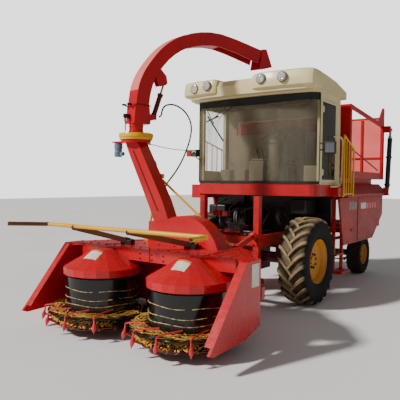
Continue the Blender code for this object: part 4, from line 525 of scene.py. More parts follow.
# %% Barrels, discs, knives and hoops
DRUM_X, DRUM_Y = 0.6465, -2.608
DISC_TOP = 0.245
seed = np.random.default_rng(11)
for side, sign in SIDES:
    centre = (sign * DRUM_X, DRUM_Y, 0)
    profile = [(0, 0.228), (0.60, 0.228), (0.645, 0.232), (0.645, 0.238), (0.60, DISC_TOP), (0.455, DISC_TOP),
               (0.43, 0.262), (0.43, 0.636), (0.426, 0.64), (0.06, 0.64), (0.055, 0.66), (0, 0.66)]
    drum = piece("crop_drum_" + side, [lathe(profile, centre, steps=96)], GLOSS_BLACK, "drum_" + side,
                 sharp=30)
    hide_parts("drum_" + side)
    turn = np.arange(12) * np.pi / 6
    knives = [block((centre[0] + 0.600 * math.cos(a), centre[1] + 0.600 * math.sin(a), DISC_TOP + 0.003),
                    (0.075, 0.045, 0.005), (math.cos(a), math.sin(a), 0)) for a in turn]
    hubs = [bolts([(centre[0] + 0.575 * math.cos(a), centre[1] + 0.575 * math.sin(a), DISC_TOP + 0.005)],
                  (0, 0, 1), 0.012, 0.010)
            for a in turn]
    piece("knives_" + side, knives + hubs, IRON, "drum_" + side, bevel=0.001)
    hoops = []
    for z, first, last in ((0.335, 150, 420), (0.405, 170, 330), (0.412, 340, 480), (0.505, 140, 300),
                           (0.50, 310, 450)):
        w = np.radians(np.linspace(first, last, 60))
        line = np.c_[centre[0] + 0.434 * np.cos(w), centre[1] + 0.434 * np.sin(w),
                     z + 0.008 * np.sin(5 * w + 9 * z)]
        hoops.append(sweep(line, circle(0.0045, 6)))
    piece("hoops_" + side, hoops, RED_STRAW, "drum_" + side)
    # straw on the disc, thicker in front where the crop comes in
    count = 300
    bearing = np.where(seed.random(count) < 0.75, seed.uniform(-np.pi, 0, count),
                       seed.uniform(0, np.pi, count))
    reach = np.sqrt(seed.uniform(0.455**2, 0.615**2, count))
    length, width = seed.uniform(0.05, 0.17, count), seed.uniform(0.004, 0.011, count)
    lean = bearing + np.pi / 2 + seed.normal(0, 0.5, count)
    middle = np.stack([centre[0] + reach * np.cos(bearing), centre[1] + reach * np.sin(bearing),
                       DISC_TOP + 0.004 + seed.gamma(2.0, 0.008, count)], -1)
    station = np.linspace(-0.5, 0.5, 5)
    along = station[None, :, None] * length[:, None,
                                            None] * np.stack([np.cos(lean), np.sin(lean), 0 * lean], -1)[:,
                                                    None]
    bow = (0.25 - station**2)[None, :, None] * (length * seed.uniform(-0.25, 0.35, count))[:, None,
            None] * np.array([0, 0, 1.0])
    spine = middle[:, None] + along + bow
    away = spine[..., :2] - np.array(centre[:2])
    far = np.linalg.norm(away, axis=-1, keepdims=True)
    spine[..., :2] = np.array(centre[:2]) + away / far * np.clip(far, 0.445, 0.630)
    spine[..., 2] = np.clip(spine[..., 2], DISC_TOP + 0.006, 0.272)
    corner = np.arange(3) * 2 * np.pi / 3
    offset = np.stack([-np.sin(lean)[:, None] * np.cos(corner), np.cos(lean)[:, None] * np.cos(corner),
                       0.4 * np.sin(corner) + 0 * lean[:, None]], -1) * width[:, None, None] / 2
    points = (spine[:, :, None] + offset[:, None]).reshape(-1, 3)
    one = grid_faces(5, 3, False, True)
    tips = np.array([[0, 1, 2], [14, 13, 12]])
    starts = np.arange(count)[:, None, None] * 15
    piece("straw_" + side, [(points, [(one[None] + starts).reshape(-1, 4),
                                      (tips[None] + starts).reshape(-1, 3)])],
          STRAW, "drum_" + side, sharp=60)
print("drums dressed")

# %% [markdown]
# ## Crop points and pans
# Spears part the stalks ahead of each drum, and a bent rod behind each spear lays them
# against the drum. They are turned shapes and rods set out round the drum's axis, and
# the pan below has one scallop between every two spears.

# %% Spears, rods and scalloped pans
SPEAR_ANGLES = (-43, -18, 9, 38)


def round_drum(sign, angle, radius, height):
    """The point at an angle from straight ahead of a drum's axis, at a radius and a height."""
    turn = math.radians(270 + angle)
    return np.array([sign * DRUM_X + radius * math.cos(turn), DRUM_Y + radius * math.sin(turn), height])


spears, pans = [], []
for side, sign in SIDES:
    for angle in SPEAR_ANGLES:
        tip, knee = round_drum(sign, angle, 0.702, 0.105), round_drum(sign, angle, 0.668, 0.262)
        length = np.linalg.norm(tip - knee)
        head = [(0, 0), (0.009, 0.01), (0.013, 0.32 * length), (0.026, 0.55 * length),
                (0.020, 0.72 * length), (0, length)]
        spears.append(lathe(head, knee, tip - knee, 8))
        back = round_drum(sign, angle + 20, 0.515, 0.318)
        line = smooth_line([knee + 0.02 * unit(tip - knee), knee + (0, 0, 0.018),
                            0.6 * knee + 0.4 * back + (0, 0, 0.02), back],
                           0.02)
        spears.append(sweep(line, circle(0.0085, 8), (1, 0.3, 0.2)))
        spears.append(rod(round_drum(sign, angle, 0.50, 0.092), round_drum(sign, angle, 0.69, 0.19), 0.011,
                          8))
    turn = np.linspace(-72, 66, 116)
    gaps = np.interp(turn, [-72, *SPEAR_ANGLES, 66], np.arange(6))
    edge = 0.555 + 0.085 * np.abs(np.sin(np.pi * gaps)) ** 0.7
    way = np.radians(270 + turn)
    rows = [(0.36, 0.101), (0.50, 0.103), (1.0, 0.115), (1.0, 0.108), (0.50, 0.097), (0.36, 0.097)]
    radii = np.array([row[0] for row in rows])[:, None]
    reach = np.where(radii == 1.0, edge[None, :], radii)
    height = np.array([row[1] for row in rows])[:, None] + np.where(radii == 1.0, 0.035,
                                                                    0.0) * (edge[None, :] - 0.555) / 0.085
    grid = np.stack([sign * DRUM_X + reach * np.cos(way), DRUM_Y + reach * np.sin(way), height],
                    -1).reshape(-1, 3)
    ends = np.array([np.arange(6) * 116, np.arange(6)[::-1] * 116 + 115])
    pans.append((grid, [grid_faces(6, 116, True), ends]))
pans += [lathe([(0, 0.086), (0.53, 0.086), (0.54, 0.099), (0, 0.1)], (sign * DRUM_X, DRUM_Y, 0),
               steps=64) for side, sign in SIDES]
made = piece("crop_points", spears, SPEAR_RED, "header")
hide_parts("crop_guides")
piece("scalloped_pans", pans, DARK_RED, "header", sharp=50)
chaff_count = 520
which = np.where(seed.random(chaff_count) < 0.5, 1.0, -1.0)
bearing = np.radians(270 + seed.uniform(-68, 62, chaff_count))
reach = seed.uniform(0.50, 0.60, chaff_count)
pile = np.stack([which * DRUM_X + reach * np.cos(bearing), DRUM_Y + reach * np.sin(bearing),
                 seed.uniform(0.125, 0.205, chaff_count)], -1)
flake = BOX_SIGNS[None] * seed.uniform(0.2, 1.0, (chaff_count, 1, 3)) * (0.034, 0.010, 0.004)
spin = seed.uniform(0, np.pi, chaff_count)
turned = np.stack([flake[..., 0] * np.cos(spin)[:, None] - flake[..., 1] * np.sin(spin)[:, None],
                   flake[..., 0] * np.sin(spin)[:, None] + flake[..., 1] * np.cos(spin)[:, None],
                   flake[..., 2] + 0.5 * flake[..., 0]], -1)
chips = (BOX_FACES[None] + (np.arange(chaff_count) * 8)[:, None, None]).reshape(-1, 4)
piece("chaff", [((pile[:, None] + turned).reshape(-1, 3), [chips])], STRAW, "header",
      sharp=20)
print("spears:", len(SPEAR_ANGLES) * 2)

# %% [markdown]
# ## Header sheets and the push bar
# The header is folded and bolted sheet. Bolt rows, lap strips and blank labels go on as
# thin pieces. The push bar is a bent tube, so it is one outline carried along a line.

# %% Push bar, its arms and feet
bend = smooth_line([(-1.69, -3.20, 1.22), (-1.58, -2.98, 1.21), (-1.49, -2.80, 1.201), (-1.40, -2.76, 1.20),
                    (-0.2, -2.76, 1.20), (0.86, -2.76, 1.20), (0.945, -2.79, 1.20), (0.965, -2.88, 1.20),
                    (0.97, -3.035, 1.20)],
                   0.035)
far, near = bend[bend[:, 0] < -1.44], bend[bend[:, 0] > -1.47]
bar = piece("push_bar_tube", [sweep(near, circle(0.0255, 20), (0, 0.05, 1))], YELLOW, "header")
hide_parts("push_bar")
piece("push_bar_end", [sweep(far, circle(0.0258, 20), (0, 0.05, 1)),
                       ring(0.021, 0.005, bend[-1], (0, 1, 0), 24)], BROWN, "header")
# A black disc just inside the open end is painted shade for the dark inside of the tube.
piece("push_bar_mouth_painted_shade", [rod(bend[-1] + (0, -0.001, 0), bend[-1] + (0, 0.01, 0), 0.018, 20)], BLACK,
      "header")
arms, feet = [], []
for foot, tip in (((-0.58, -2.25), (-1.00, -2.76)), ((0.30, -2.10), (-0.10, -2.76))):
    start, end = np.array([*foot, 1.011]), np.array([*tip, 1.185])
    arms.append(block((start + end) / 2, (np.linalg.norm(end - start) + 0.03, 0.062, 0.062), end - start))
    arms.append(ring(0.030, 0.006, end, (1, 0, 0), 24))
    feet += [block((*foot, 0.995), (0.15, 0.10, 0.056), (1, 0.2, 0)),
             block((*foot, 1.022), (0.07, 0.10, 0.05), end - start)]
    feet.append(rod((foot[0] - 0.085, foot[1], 1.03), (foot[0] + 0.085, foot[1], 1.03), 0.012, 10))
piece("push_bar_arms", arms, BROWN, "header", bevel=0.004)
piece("push_bar_feet", feet, BLACK, "header", bevel=0.004)

# %% Bolts, lap strips and labels on the header
rows = [np.c_[np.linspace(-1.05, 1.05, 16), np.full(16, -2.43), np.full(16, 0.965)],
        np.c_[np.linspace(-0.95, 0.95, 9), np.full(9, -2.05), np.full(9, 0.965)],
        np.c_[np.linspace(-1.28, -1.0, 4), np.linspace(-2.36, -1.95, 4), np.full(4, 0.965)],
        np.c_[np.linspace(1.28, 1.0, 4), np.linspace(-2.36, -1.95, 4), np.full(4, 0.965)]]
deck_bolts = bolts(np.concatenate(rows), (0, 0, 1), 0.011, 0.008)
front_bolts = bolts([(x, -2.49, z) for x in (-0.16, 0.02, 0.19) for z in (0.85, 0.91)], (0, -1, 0), 0.010,
                    0.008)
piece("deck_bolts", [deck_bolts, front_bolts], BLACK, "header")
strips = [limits((-0.75, -0.735), (-2.49, -1.75), (0.965, 0.968)),
          limits((0.735, 0.75), (-2.49, -1.75), (0.965, 0.968)),
          limits((-1.14, 1.14), (-2.355, -2.34), (0.965, 0.9675)),
          limits((-0.02, -0.008), (-2.4935, -2.489), (0.82, 0.965)),
          limits((0.62, 1.0), (-1.98, -1.965), (0.965, 0.968))]
piece("lap_strips", strips, DARK_RED, "header")


def cone_patch(corners, sign, lift):
    """A patch that lies on a drum cap: corners are spread over a 9 by 9 grid, and each point is raised to the cone, whose
    height falls in a straight line from radius 0.12 at 0.94 to radius 0.464 at 0.74."""
    u, v = np.meshgrid(np.linspace(0, 1, 9), np.linspace(0, 1, 9))
    a, b, c, d = np.asarray(corners, float)
    flat = ((1 - u) * (1 - v))[..., None] * a + (u * (1 - v))[..., None] * b + (u * v)[...,
            None] * c + ((1 - u) * v)[..., None] * d
    away = flat - (sign * DRUM_X, DRUM_Y)
    facet = np.pi / 20
    bearing = np.arctan2(away[..., 1], away[..., 0])
    reach = np.hypot(away[..., 0], away[..., 1]) * np.cos((bearing % (2 * facet)) - facet) / np.cos(facet)
    height = np.interp(reach, [0.12, 0.464], [0.94, 0.74]) + lift
    top = np.concatenate([flat, height[..., None]], -1).reshape(-1, 3)
    under = top - (0, 0, 0.004)
    border = np.concatenate([np.arange(9), np.arange(17, 81, 9), np.arange(79, 71, -1), np.arange(63, 0, -9)])
    wall = np.stack([border, np.roll(border, -1), np.roll(border, -1) + 81, border + 81], -1)
    return np.concatenate([top, under]), [grid_faces(9, 9), grid_faces(9, 9) + 81, wall]


labels, strips = [], []
for sign, spots in ((1, [(0.59, -2.726), (0.757, -2.72), (0.761, -2.86), (0.603, -2.873)]),
                    (-1, [(-0.688, -2.74), (-0.53, -2.718), (-0.512, -2.861), (-0.686, -2.884)])):
    spots = np.array(spots)
    labels.append(cone_patch(spots, sign, 0.004))
    low, high = 0.03, 0.17
    strips.append(cone_patch([(1 - low) * spots[0] + low * spots[3], (1 - low) * spots[1] + low * spots[2],
                              (1 - high) * spots[1] + high * spots[2],
                              (1 - high) * spots[0] + high * spots[3]], sign, 0.007))
labels += [limits((1.344, 1.3465), (-2.51, -2.36), (0.70, 0.935))]
piece("blank_labels", labels, WHITE_FILM, "header")
piece("label_bands", strips, ORANGE_FILM, "header")

# %% [markdown]
# Sheet metal is folded over along a divider's edges to stiffen it. The fold could be cut
# into the sheet. A thin strip along each edge shows the same line and is simpler.

# %% Divider folds
folds = []
for side, sign in SIDES:
    x0, x1 = sign * 1.344, sign * 1.245
    line = np.array([(-2.60, 0.955), (-3.20, 0.268)])
    way = unit((0, line[1][0] - line[0][0], line[1][1] - line[0][1]))
    middle = np.array([(x0 + x1) / 2, line[:, 0].mean(), line[:, 1].mean()])
    folds.append(block(middle + np.cross(way, (1, 0, 0)) * -0.002, (0.91, 0.098, 0.008), way,
                       np.cross(way, (1, 0, 0))))
piece("divider_folds", folds, FRESH_RED, "header", bevel=0.002)

# %% [markdown]
# ## Cords
# A hydraulic hose feeds the tilt cylinder and loops back down to the duct, and an
# electric cable hangs from the slewing ring to the cab. Each repeats the route of its
# solid, point for point, and is a round outline carried along that route.

# %% Hose and cable
SPOUT = np.array([-0.86, -1.80])
TURN = math.radians(12.6)
AHEAD, ASIDE = np.array([math.sin(TURN), math.cos(TURN)]), np.array([math.cos(TURN), -math.sin(TURN)])


def on_spout(along, height, aside=0.0):
    return np.array([*(SPOUT + AHEAD * along + ASIDE * aside), height])


def length_of(path):
    return float(np.linalg.norm(np.diff(path, axis=0), axis=1).sum())


HOSE_LOOP = [(0.352, 2.655), (0.372, 2.662), (0.392, 2.69), (0.400, 2.74), (0.425, 2.79), (0.475, 2.83),
             (0.58, 2.852),
             (0.71, 2.832), (0.84, 2.76), (0.925, 2.65), (0.950, 2.53), (0.925, 2.39), (0.865, 2.235),
             (0.775, 2.065),
             (0.66, 1.905)]
hose_knots = [on_spout(along, height, 0.05) for along, height in HOSE_LOOP]
hose_knots += [(-0.585, -1.46, 1.74), (-0.50, -1.61, 1.69), (-0.50, -1.655, 1.69), (-0.50, -1.6997, 1.69)]
hose_path = smooth_line(hose_knots, 0.045)
hose = piece("spout_hose_line", [sweep(hose_path, circle(0.0118, 12), (*ASIDE, 0))], HOSE, None)
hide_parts("spout_hose")
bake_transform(hose)

way = unit((0.40, 0.91, -0.12))
cable_start = np.array([-0.86, -1.80, 2.292]) + way * 0.2203
cable_end = np.array([-1.06, 0.035, 2.30])
third, turn = cable_start + way * 0.06, cable_end + (-0.07, -0.10, -0.01)
share = np.array([0.15, 0.3, 0.45, 0.6, 0.75, 0.9])[:, None]
slack = third + (turn - third) * share - np.c_[0 * share, 0 * share, 4 * 0.025 * share * (1 - share)]
cable_knots = [cable_start, cable_start + way * 0.03, third, *slack, turn, cable_end - (0.06, 0, 0),
               cable_end - (0.03, 0, 0),
               cable_end - (0.0003, 0, 0)]
cable_path = smooth_line(cable_knots, 0.030)
cable = piece("spout_cable_line", [sweep(cable_path, circle(0.0058, 10))], HOSE, "chassis")
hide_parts("spout_cable")
print("hose", round(length_of(hose_path), 3), "m, cable", round(length_of(cable_path), 3), "m")

# %% [markdown]
# ## Spout, ring and duct
# The spout is a welded box of sheet with a flange at its hinge. The slewing ring is a
# turned gear housing, and a hydraulic motor under its plate turns it.

# %% Flanges, ring, motor and handle
centre = np.array([*SPOUT, 0.0])
profile = [(0.085, 2.312), (0.215, 2.312), (0.222, 2.322), (0.222, 2.345), (0.231, 2.350), (0.231, 2.385),
           (0.226, 2.398),
           (0.14, 2.403), (0.11, 2.409), (0.085, 2.409)]
collar = piece("slewing_gear_case", [lathe(profile, centre, steps=72, closed=True)], YELLOW, "spout_base")
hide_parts("slewing_ring")
turns = np.arange(14) * 2 * np.pi / 14
spots = centre + np.c_[0.185 * np.cos(turns), 0.185 * np.sin(turns), np.full(14, 2.400)]
piece("ring_bolts", [bolts(spots, (0, 0, 1), 0.011, 0.010)], BLACK, "spout_base")
shaft = [ring(0.098, 0.006, centre + (0, 0, z), steps=40) for z in (2.425, 2.50)]
flange = [block(on_spout(0.032, 2.768), (0.27, 0.225, 0.010), (*AHEAD, 0)),
          block(on_spout(0.045, 2.786), (0.24, 0.215, 0.010), (*AHEAD, 0))]
piece("neck_rings", shaft + [flange[0]], RED, "spout_base", bevel=0.002)
piece("spout_flange", [flange[1]], DARK_RED, "spout", bevel=0.002)
clamp = [block(on_spout(-0.125, 2.784, s), (0.06, 0.03, 0.024), (*AHEAD, 0)) for s in (-0.10, 0.02)]
knob = [rod(on_spout(-0.09, 2.63, -0.03), on_spout(-0.175, 2.63, -0.03), 0.030, 16),
        rod(on_spout(-0.16, 2.64, -0.03), on_spout(-0.16, 2.55, -0.03), 0.012, 10)]
piece("clamps", clamp + knob, BLACK, "spout_base", bevel=0.002)
piece("hanging_pin", [rod(on_spout(-0.155, 2.58, -0.03), on_spout(-0.155, 2.43, -0.03), 0.008, 10)], BROWN,
      "spout_base")
motor_at = np.array([-1.13, -1.86, 0.0])
case = [(0, 2.088), (0.042, 2.088), (0.055, 2.10), (0.055, 2.16), (0.050, 2.165), (0.050, 2.20),
        (0.056, 2.205), (0.056, 2.27), (0, 2.272)]
piece("slewing_motor", [lathe(case, motor_at, steps=32),
                        block(motor_at + (0.06, 0, 2.13), (0.07, 0.05, 0.05)),
                        bolts(motor_at + np.array([(0.045, 0.03, 2.285), (-0.045, 0.03, 2.285),
                                                   (-0.045, -0.03, 2.285)]), (0, 0, 1))],
      BLUE_GREY, "header", bevel=0.002)
short_hose = smooth_line([(-0.76, -1.675, 2.13), (-0.72, -1.655, 2.09), (-0.66, -1.655, 2.04),
                          (-0.625, -1.655, 1.98), (-0.64, -1.66, 1.91),
                          (-0.66, -1.68, 1.87)], 0.02)
piece("duct_pipe", [sweep(short_hose, circle(0.012, 10), (0, 1, 0.1))], BLACK_PLASTIC, "header")
seams = [block((-0.60, -1.904, 1.77), (0.012, 0.006, 0.9), (1, 0, 0.55), (-0.45, 0, 0.9))]
piece("duct_seam", seams, DARK_RED, "header")
gland = [lathe([(0, 0), (0.040, 0), (0.040, 0.03), (0.034, 0.035), (0.034, 0.30), (0.041, 0.305),
                (0.041, 0.335), (0.017, 0.345), (0, 0.345)],
               on_spout(0.292, 2.668), on_spout(0.405, 2.965) - on_spout(0.292, 2.668), 24)]
piece("tilt_cylinder", gland, DARK_RED, "tilt_barrel")
print("spout dressed")

# %% [markdown]
# ## Cab
# The windscreen is one bent sheet between the front pillars with black seals above and
# below. Its plan is a straight side, a corner and a gently bowed front, and two heights
# turn that plan into a wall. The roof carries two moulded pods with a pair of lamps each.


# %% Windscreen and its seals
def cab_plan(grow):
    """The windscreen's plan from the right pillar round to the left: x = (1.034 + grow) cos-like corner of 0.16 and a front
    that bows 0.07 m between the corners."""
    half, corner = 1.034 + grow, 0.16
    w = np.linspace(0, np.pi / 2, 9)
    x = np.linspace(-(half - corner), half - corner, 33)
    bow = -0.15 - grow - 0.07 * (1 - (x / (half - corner)) ** 2)
    right = np.c_[-(half - corner) - corner * np.cos(w), -0.15 - grow + corner - corner * np.sin(w)]
    left = np.c_[(half - corner) + corner * np.sin(w), -0.15 - grow + corner - corner * np.cos(w)]
    side = np.array([(-half, 0.0)])
    return np.concatenate([side, right[:-1], np.c_[x, bow], left[1:], np.array([(half, 0.0)])])


def bent_sheet(outer, inner, low, high):
    """A closed wall between two plans and two heights; a height may change along the plan."""
    count = len(outer)
    low, high = np.broadcast_to(low, count), np.broadcast_to(high, count)
    grid = np.stack([np.c_[outer, low], np.c_[outer, high], np.c_[inner, high], np.c_[inner, low]])
    ends = np.array([[0, count, 2 * count, 3 * count],
                     [4 * count - 1, 3 * count - 1, 2 * count - 1, count - 1]])
    return grid.reshape(-1, 3), [grid_faces(4, count, True), ends]


plan_out, plan_in = cab_plan(0.0), cab_plan(-0.008)
glass = piece("bent_windscreen", [bent_sheet(plan_out, plan_in, 1.742, 2.957)], GLASS, "chassis")
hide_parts("windshield")
dip = 0.012 * np.sin(np.linspace(0, 9, len(plan_out)))
seal_top = bent_sheet(cab_plan(0.012), cab_plan(0.0005), 2.935 + dip, 3.058)
seal_low = bent_sheet(cab_plan(0.007), cab_plan(0.0005), 1.742, 1.785)
piece("windscreen_seals", [seal_top, seal_low], BLACK_PLASTIC, "chassis")
posts = [limits(sorted((sign * 1.041, sign * 1.052)), (-0.03, 0.028), (1.75, 3.05)) for side, sign in SIDES]
piece("pillar_trims", posts, CREAM, "chassis", bevel=0.004)
piece("pillar_seals", [limits(sorted((sign * 1.041, sign * 1.049)), (-0.052, -0.034),
                              (1.77, 3.04)) for side, sign in SIDES],
      BLACK_PLASTIC, "chassis", bevel=0.003)


# %% Roof pods and lamps
def pod(x_low, x_high, high):
    """A lamp pod: its front outline in (y, z) is carried from x_low to x_high and shrinks towards the ends as
    (1 - |2s - 1|^6)^(1/6)."""
    s = np.linspace(0, 1, 33)
    swell = 0.62 + 0.38 * (1 - np.abs(2 * s - 1) ** 6) ** (1 / 6)
    outline = np.array([(-0.30, 3.10), (-0.44, 3.095), (-0.492, 3.12), (-0.50, 3.16), (-0.49, 3.25),
                        (-0.465, high - 0.02),
                        (-0.42, high), (-0.28, high + 0.004), (-0.10, high - 0.008), (0.05, high - 0.02),
                        (0.05, 3.10)])
    rise = np.interp(x_low + (x_high - x_low) * s, [-1.1, -0.5, 0.5, 1.1], [0.045, 0.0, 0.0, 0.05])
    y = 0.05 + (outline[None, :, 0] - 0.05) * swell[:, None] + rise[:, None]
    z = 3.10 + (outline[None, :, 1] - 3.10) * swell[:, None]
    x = np.repeat((x_low + (x_high - x_low) * s)[:, None], len(outline), 1)
    ends = np.array([np.arange(len(outline)), np.arange(len(outline))[::-1] + 32 * len(outline)])
    return np.stack([x, y, z], -1).reshape(-1, 3), [grid_faces(33, len(outline), False, True), ends]


piece("roof_pods", [pod(-1.105, -0.44, 3.335), pod(0.13, 1.105, 3.345)], CREAM, "chassis",
      sharp=40)
brow = bent_sheet(cab_plan(0.068), cab_plan(0.01), 3.045, 3.075)
piece("roof_gutter", [brow], CREAM, "chassis", bevel=0.006)
bowls, faces, rings = [], [], []
for x, z, y in ((-0.85, 3.205, -0.452), (-0.60, 3.225, -0.482), (0.33, 3.235, -0.488), (0.66, 3.23, -0.486)):
    spot = np.array([x, y, z])
    bowls.append(lathe([(0, 0.0), (0.02, 0.0), (0.045, 0.012), (0.062, 0.038), (0.066, 0.038),
                        (0.050, -0.01), (0, -0.012)], spot,
                       (0, -1, 0), 32))
    rings.append(lathe([(0.060, 0.034), (0.072, 0.030), (0.078, 0.0), (0.074, -0.02), (0.058, -0.012)],
                       spot, (0, -1, -0.04), 32, True))
    faces.append(lathe([(0, 0.050), (0.03, 0.047), (0.062, 0.037), (0.062, 0.033), (0.03, 0.043),
                        (0, 0.046)], spot, (0, -1, 0), 32))
piece("lamp_reflectors", bowls, CHROME, "chassis")
piece("lamp_rims", rings, GREY_PLASTIC, "chassis")
piece("lamp_glasses", faces, LENS, "chassis")

# %% Wipers, mirror, side lamp, handles
arms = [sweep(smooth_line([(-0.80, -0.252, 2.99), (-0.70, -0.256, 2.80), (-0.62, -0.256, 2.68)], 0.02),
              circle(0.007, 8)),
        sweep(smooth_line([(-0.26, -0.262, 3.02), (-0.44, -0.262, 2.89), (-0.62, -0.258, 2.765)], 0.02),
              circle(0.006, 8)),
        sweep(smooth_line([(-0.20, -0.262, 3.00), (-0.37, -0.262, 2.87), (-0.53, -0.258, 2.75)], 0.02),
              circle(0.006, 8))]
blades = [block((-0.60, -0.243, 2.60), (0.50, 0.014, 0.020), (0.44, 0, -0.60)),
          block((-0.66, -0.243, 2.755), (0.24, 0.012, 0.018), (1, 0, 0.33))]
piece("wipers", arms + blades, BLACK_PLASTIC, "chassis")
mirror_at = np.array([1.262, -0.20, 2.25])
piece("mirror_case", [block(mirror_at, (0.16, 0.035, 0.17), (1, 0.12, 0)),
                      rod((1.05, -0.05, 2.23), (1.20, -0.19, 2.235), 0.010, 10),
                      rod((1.05, -0.05, 2.33), (1.20, -0.19, 2.30), 0.008, 10)], BLACK_PLASTIC, "chassis",
                      bevel=0.010)
piece("mirror_face", [block(mirror_at + (0.002, 0.019, 0), (0.135, 0.004, 0.145), (1, 0.12, 0)),
                      block(mirror_at + (-0.002, -0.0185, 0), (0.12, 0.004, 0.13), (1, 0.12, 0))], MIRROR,
                      "chassis", bevel=0.001)
lamp_at = np.array([-0.965, -0.275, 2.22])
piece("side_lamp_case", [block(lamp_at, (0.11, 0.07, 0.11)),
                         rod(lamp_at + (0, 0.03, -0.06), (-1.0, -0.12, 2.13), 0.010, 10)],
      BLACK_PLASTIC, "chassis", bevel=0.006)
piece("side_lamp_bowl", [lathe([(0, 0.030), (0.02, 0.030), (0.042, 0.044), (0.046, 0.044), (0.046, 0.03),
                                (0, 0.026)], lamp_at, (0, -1, 0), 24)],
      CHROME, "chassis")
piece("amber_lens", [block(lamp_at + (-0.105, 0.0, 0.0), (0.095, 0.07, 0.10))], AMBER, "chassis",
      bevel=0.012)
rail = smooth_line([(1.055, 0.48, 2.46), (1.10, 0.50, 2.462), (1.12, 0.58, 2.46), (1.12, 0.66, 2.44),
                    (1.12, 0.695, 2.40), (1.12, 0.69, 2.2),
                    (1.12, 0.675, 1.9), (1.12, 0.66, 1.80), (1.12, 0.60, 1.735), (1.12, 0.48, 1.715),
                    (1.10, 0.41, 1.712), (1.055, 0.39, 1.71)], 0.02)
piece("grab_rail", [sweep(rail, circle(0.013, 12), (1, 0.2, 0.1))], CREAM, "cab_door")
piece("door_handle", [limits((1.04, 1.062), (0.50, 0.53), (1.86, 1.98)),
                      limits((1.04, 1.058), (0.48, 0.55), (2.02, 2.06))],
      BLACK_PLASTIC, "cab_door", bevel=0.005)
door_seal = [limits((1.0401, 1.0445), (0.078, 0.086), (1.83, 2.92)),
             limits((1.0401, 1.0445), (0.568, 0.576), (1.83, 2.92)),
             limits((1.0401, 1.0445), (0.078, 0.576), (2.912, 2.92)),
             limits((1.0401, 1.0445), (0.078, 0.576), (1.83, 1.838)),
             limits((1.018, 1.026), (0.09, 0.57), (2.33, 2.37))]
piece("door_seals", door_seal, BLACK_PLASTIC, "cab_door")

# %% Steering column, seat and lining
DRIVER_X = 0.32
hub = np.array([DRIVER_X, 0.045, 2.45])
lean = unit((0, -math.sin(math.radians(28)), math.cos(math.radians(28))))
wheel = [ring(0.205, 0.0135, hub, lean, 64, 12),
         lathe([(0, -0.05), (0.034, -0.05), (0.040, 0.0), (0.030, 0.018), (0, 0.02)], hub, lean, 24)]
_, s1, s2 = square_ways(lean)
for a in np.radians([90, 210, 330]):
    spoke = math.cos(a) * s1 + math.sin(a) * s2
    wheel.append(rod(hub + 0.02 * spoke, hub + 0.200 * spoke, 0.009, 10))
column = [lathe([(0, 1.63), (0.095, 1.63), (0.095, 1.93), (0.085, 2.02), (0.072, 2.20), (0.078, 2.34),
                 (0.060, 2.40), (0, 2.405)],
                (DRIVER_X, -0.045, 0), steps=32)]
made = piece("steering_tower", column, LINING, "chassis")
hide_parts("steering_column")
piece("steering_wheel_rim", wheel, BLACK_PLASTIC, "chassis")


def pad(low, high, puff):
    """A crowned cushion: each face point of a box is pushed out by puff times (1 - u^4)(1 - v^4), and its edges pull in by
    a share of that between corners."""
    low, high = np.asarray(low, float), np.asarray(high, float)
    half, middle = (high - low) / 2, (high + low) / 2
    s = np.linspace(-1, 1, 15)
    u, v = (grid.ravel() for grid in np.meshgrid(s, s, indexing="ij"))
    parts = []
    for axis in range(3):
        for side in (-1, 1):
            unit_point = np.zeros((225, 3))
            unit_point[:, (axis + 1) % 3], unit_point[:, (axis + 2) % 3], unit_point[:, axis] = u, v, side
            parts.append(unit_point)
    points = np.concatenate(parts)
    swell = 1 - puff * (1 - np.prod(np.where(np.abs(points) < 1, 1 - points**4, 1.0), axis=1))[:, None]
    power = (np.abs(points) ** 6).sum(1, keepdims=True) ** (1 / 6)
    faces = (grid_faces(15, 15)[None] + (np.arange(6) * 225)[:, None, None]).reshape(-1, 4)
    return middle + points / power * swell * half, [faces]


cushions = [pad((DRIVER_X - 0.24, 0.10, 2.00), (DRIVER_X + 0.24, 0.58, 2.12), 0.10),
            pad((DRIVER_X - 0.23, 0.52, 2.10), (DRIVER_X + 0.23, 0.63, 2.66), 0.10)]
seat = piece("seat_cushions", cushions, VINYL, "chassis", sharp=60)
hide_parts("driver_seat")
base = [limits((DRIVER_X - 0.13, DRIVER_X + 0.13), (0.20, 0.50), (1.625, 1.995)),
        limits((DRIVER_X - 0.19, DRIVER_X + 0.19), (0.16, 0.54), (1.63, 1.68))]
piece("seat_base", base, BLACK_PLASTIC, "chassis", bevel=0.01)
console = [limits((DRIVER_X - 0.51, DRIVER_X - 0.25), (0.11, 0.54), (1.63, 2.10)),
           limits((DRIVER_X - 0.49, DRIVER_X - 0.27), (0.14, 0.40), (2.10, 2.135)),
           limits((0.72, 0.96), (0.15, 0.70), (1.63, 2.02)),
           limits((-0.95, -0.45), (0.45, 0.76), (1.63, 1.98))]
piece("consoles", console, LINING, "chassis", bevel=0.02)
levers = [rod((DRIVER_X - 0.38 + dx, 0.2 + dy, 2.13), (DRIVER_X - 0.40 + dx, 0.17 + dy, 2.27), 0.007,
              8) for dx, dy in ((0, 0), (0.07, 0.04), (-0.05, 0.1))]
knobs = [lathe([(0, -0.018), (0.014, -0.01), (0.018, 0.004), (0.011, 0.018), (0, 0.02)],
               (DRIVER_X - 0.40 + dx, 0.17 + dy, 2.28), steps=16)
         for dx, dy in ((0, 0), (0.07, 0.04), (-0.05, 0.1))]
piece("levers", levers + knobs, BLACK_PLASTIC, "chassis")
lining = [limits((-1.0, 1.0), (0.735, 0.748), (1.64, 2.58)),
          limits((-1.0, 1.0), (0.735, 0.748), (2.81, 3.04)),
          limits((-0.985, -0.79), (0.735, 0.748), (2.58, 2.81)),
          limits((0.81, 0.985), (0.735, 0.748), (2.58, 2.81)),
          limits((-0.98, 0.98), (-0.10, 0.74), (3.045, 3.058))]
piece("cab_lining", lining, LINING, "chassis")
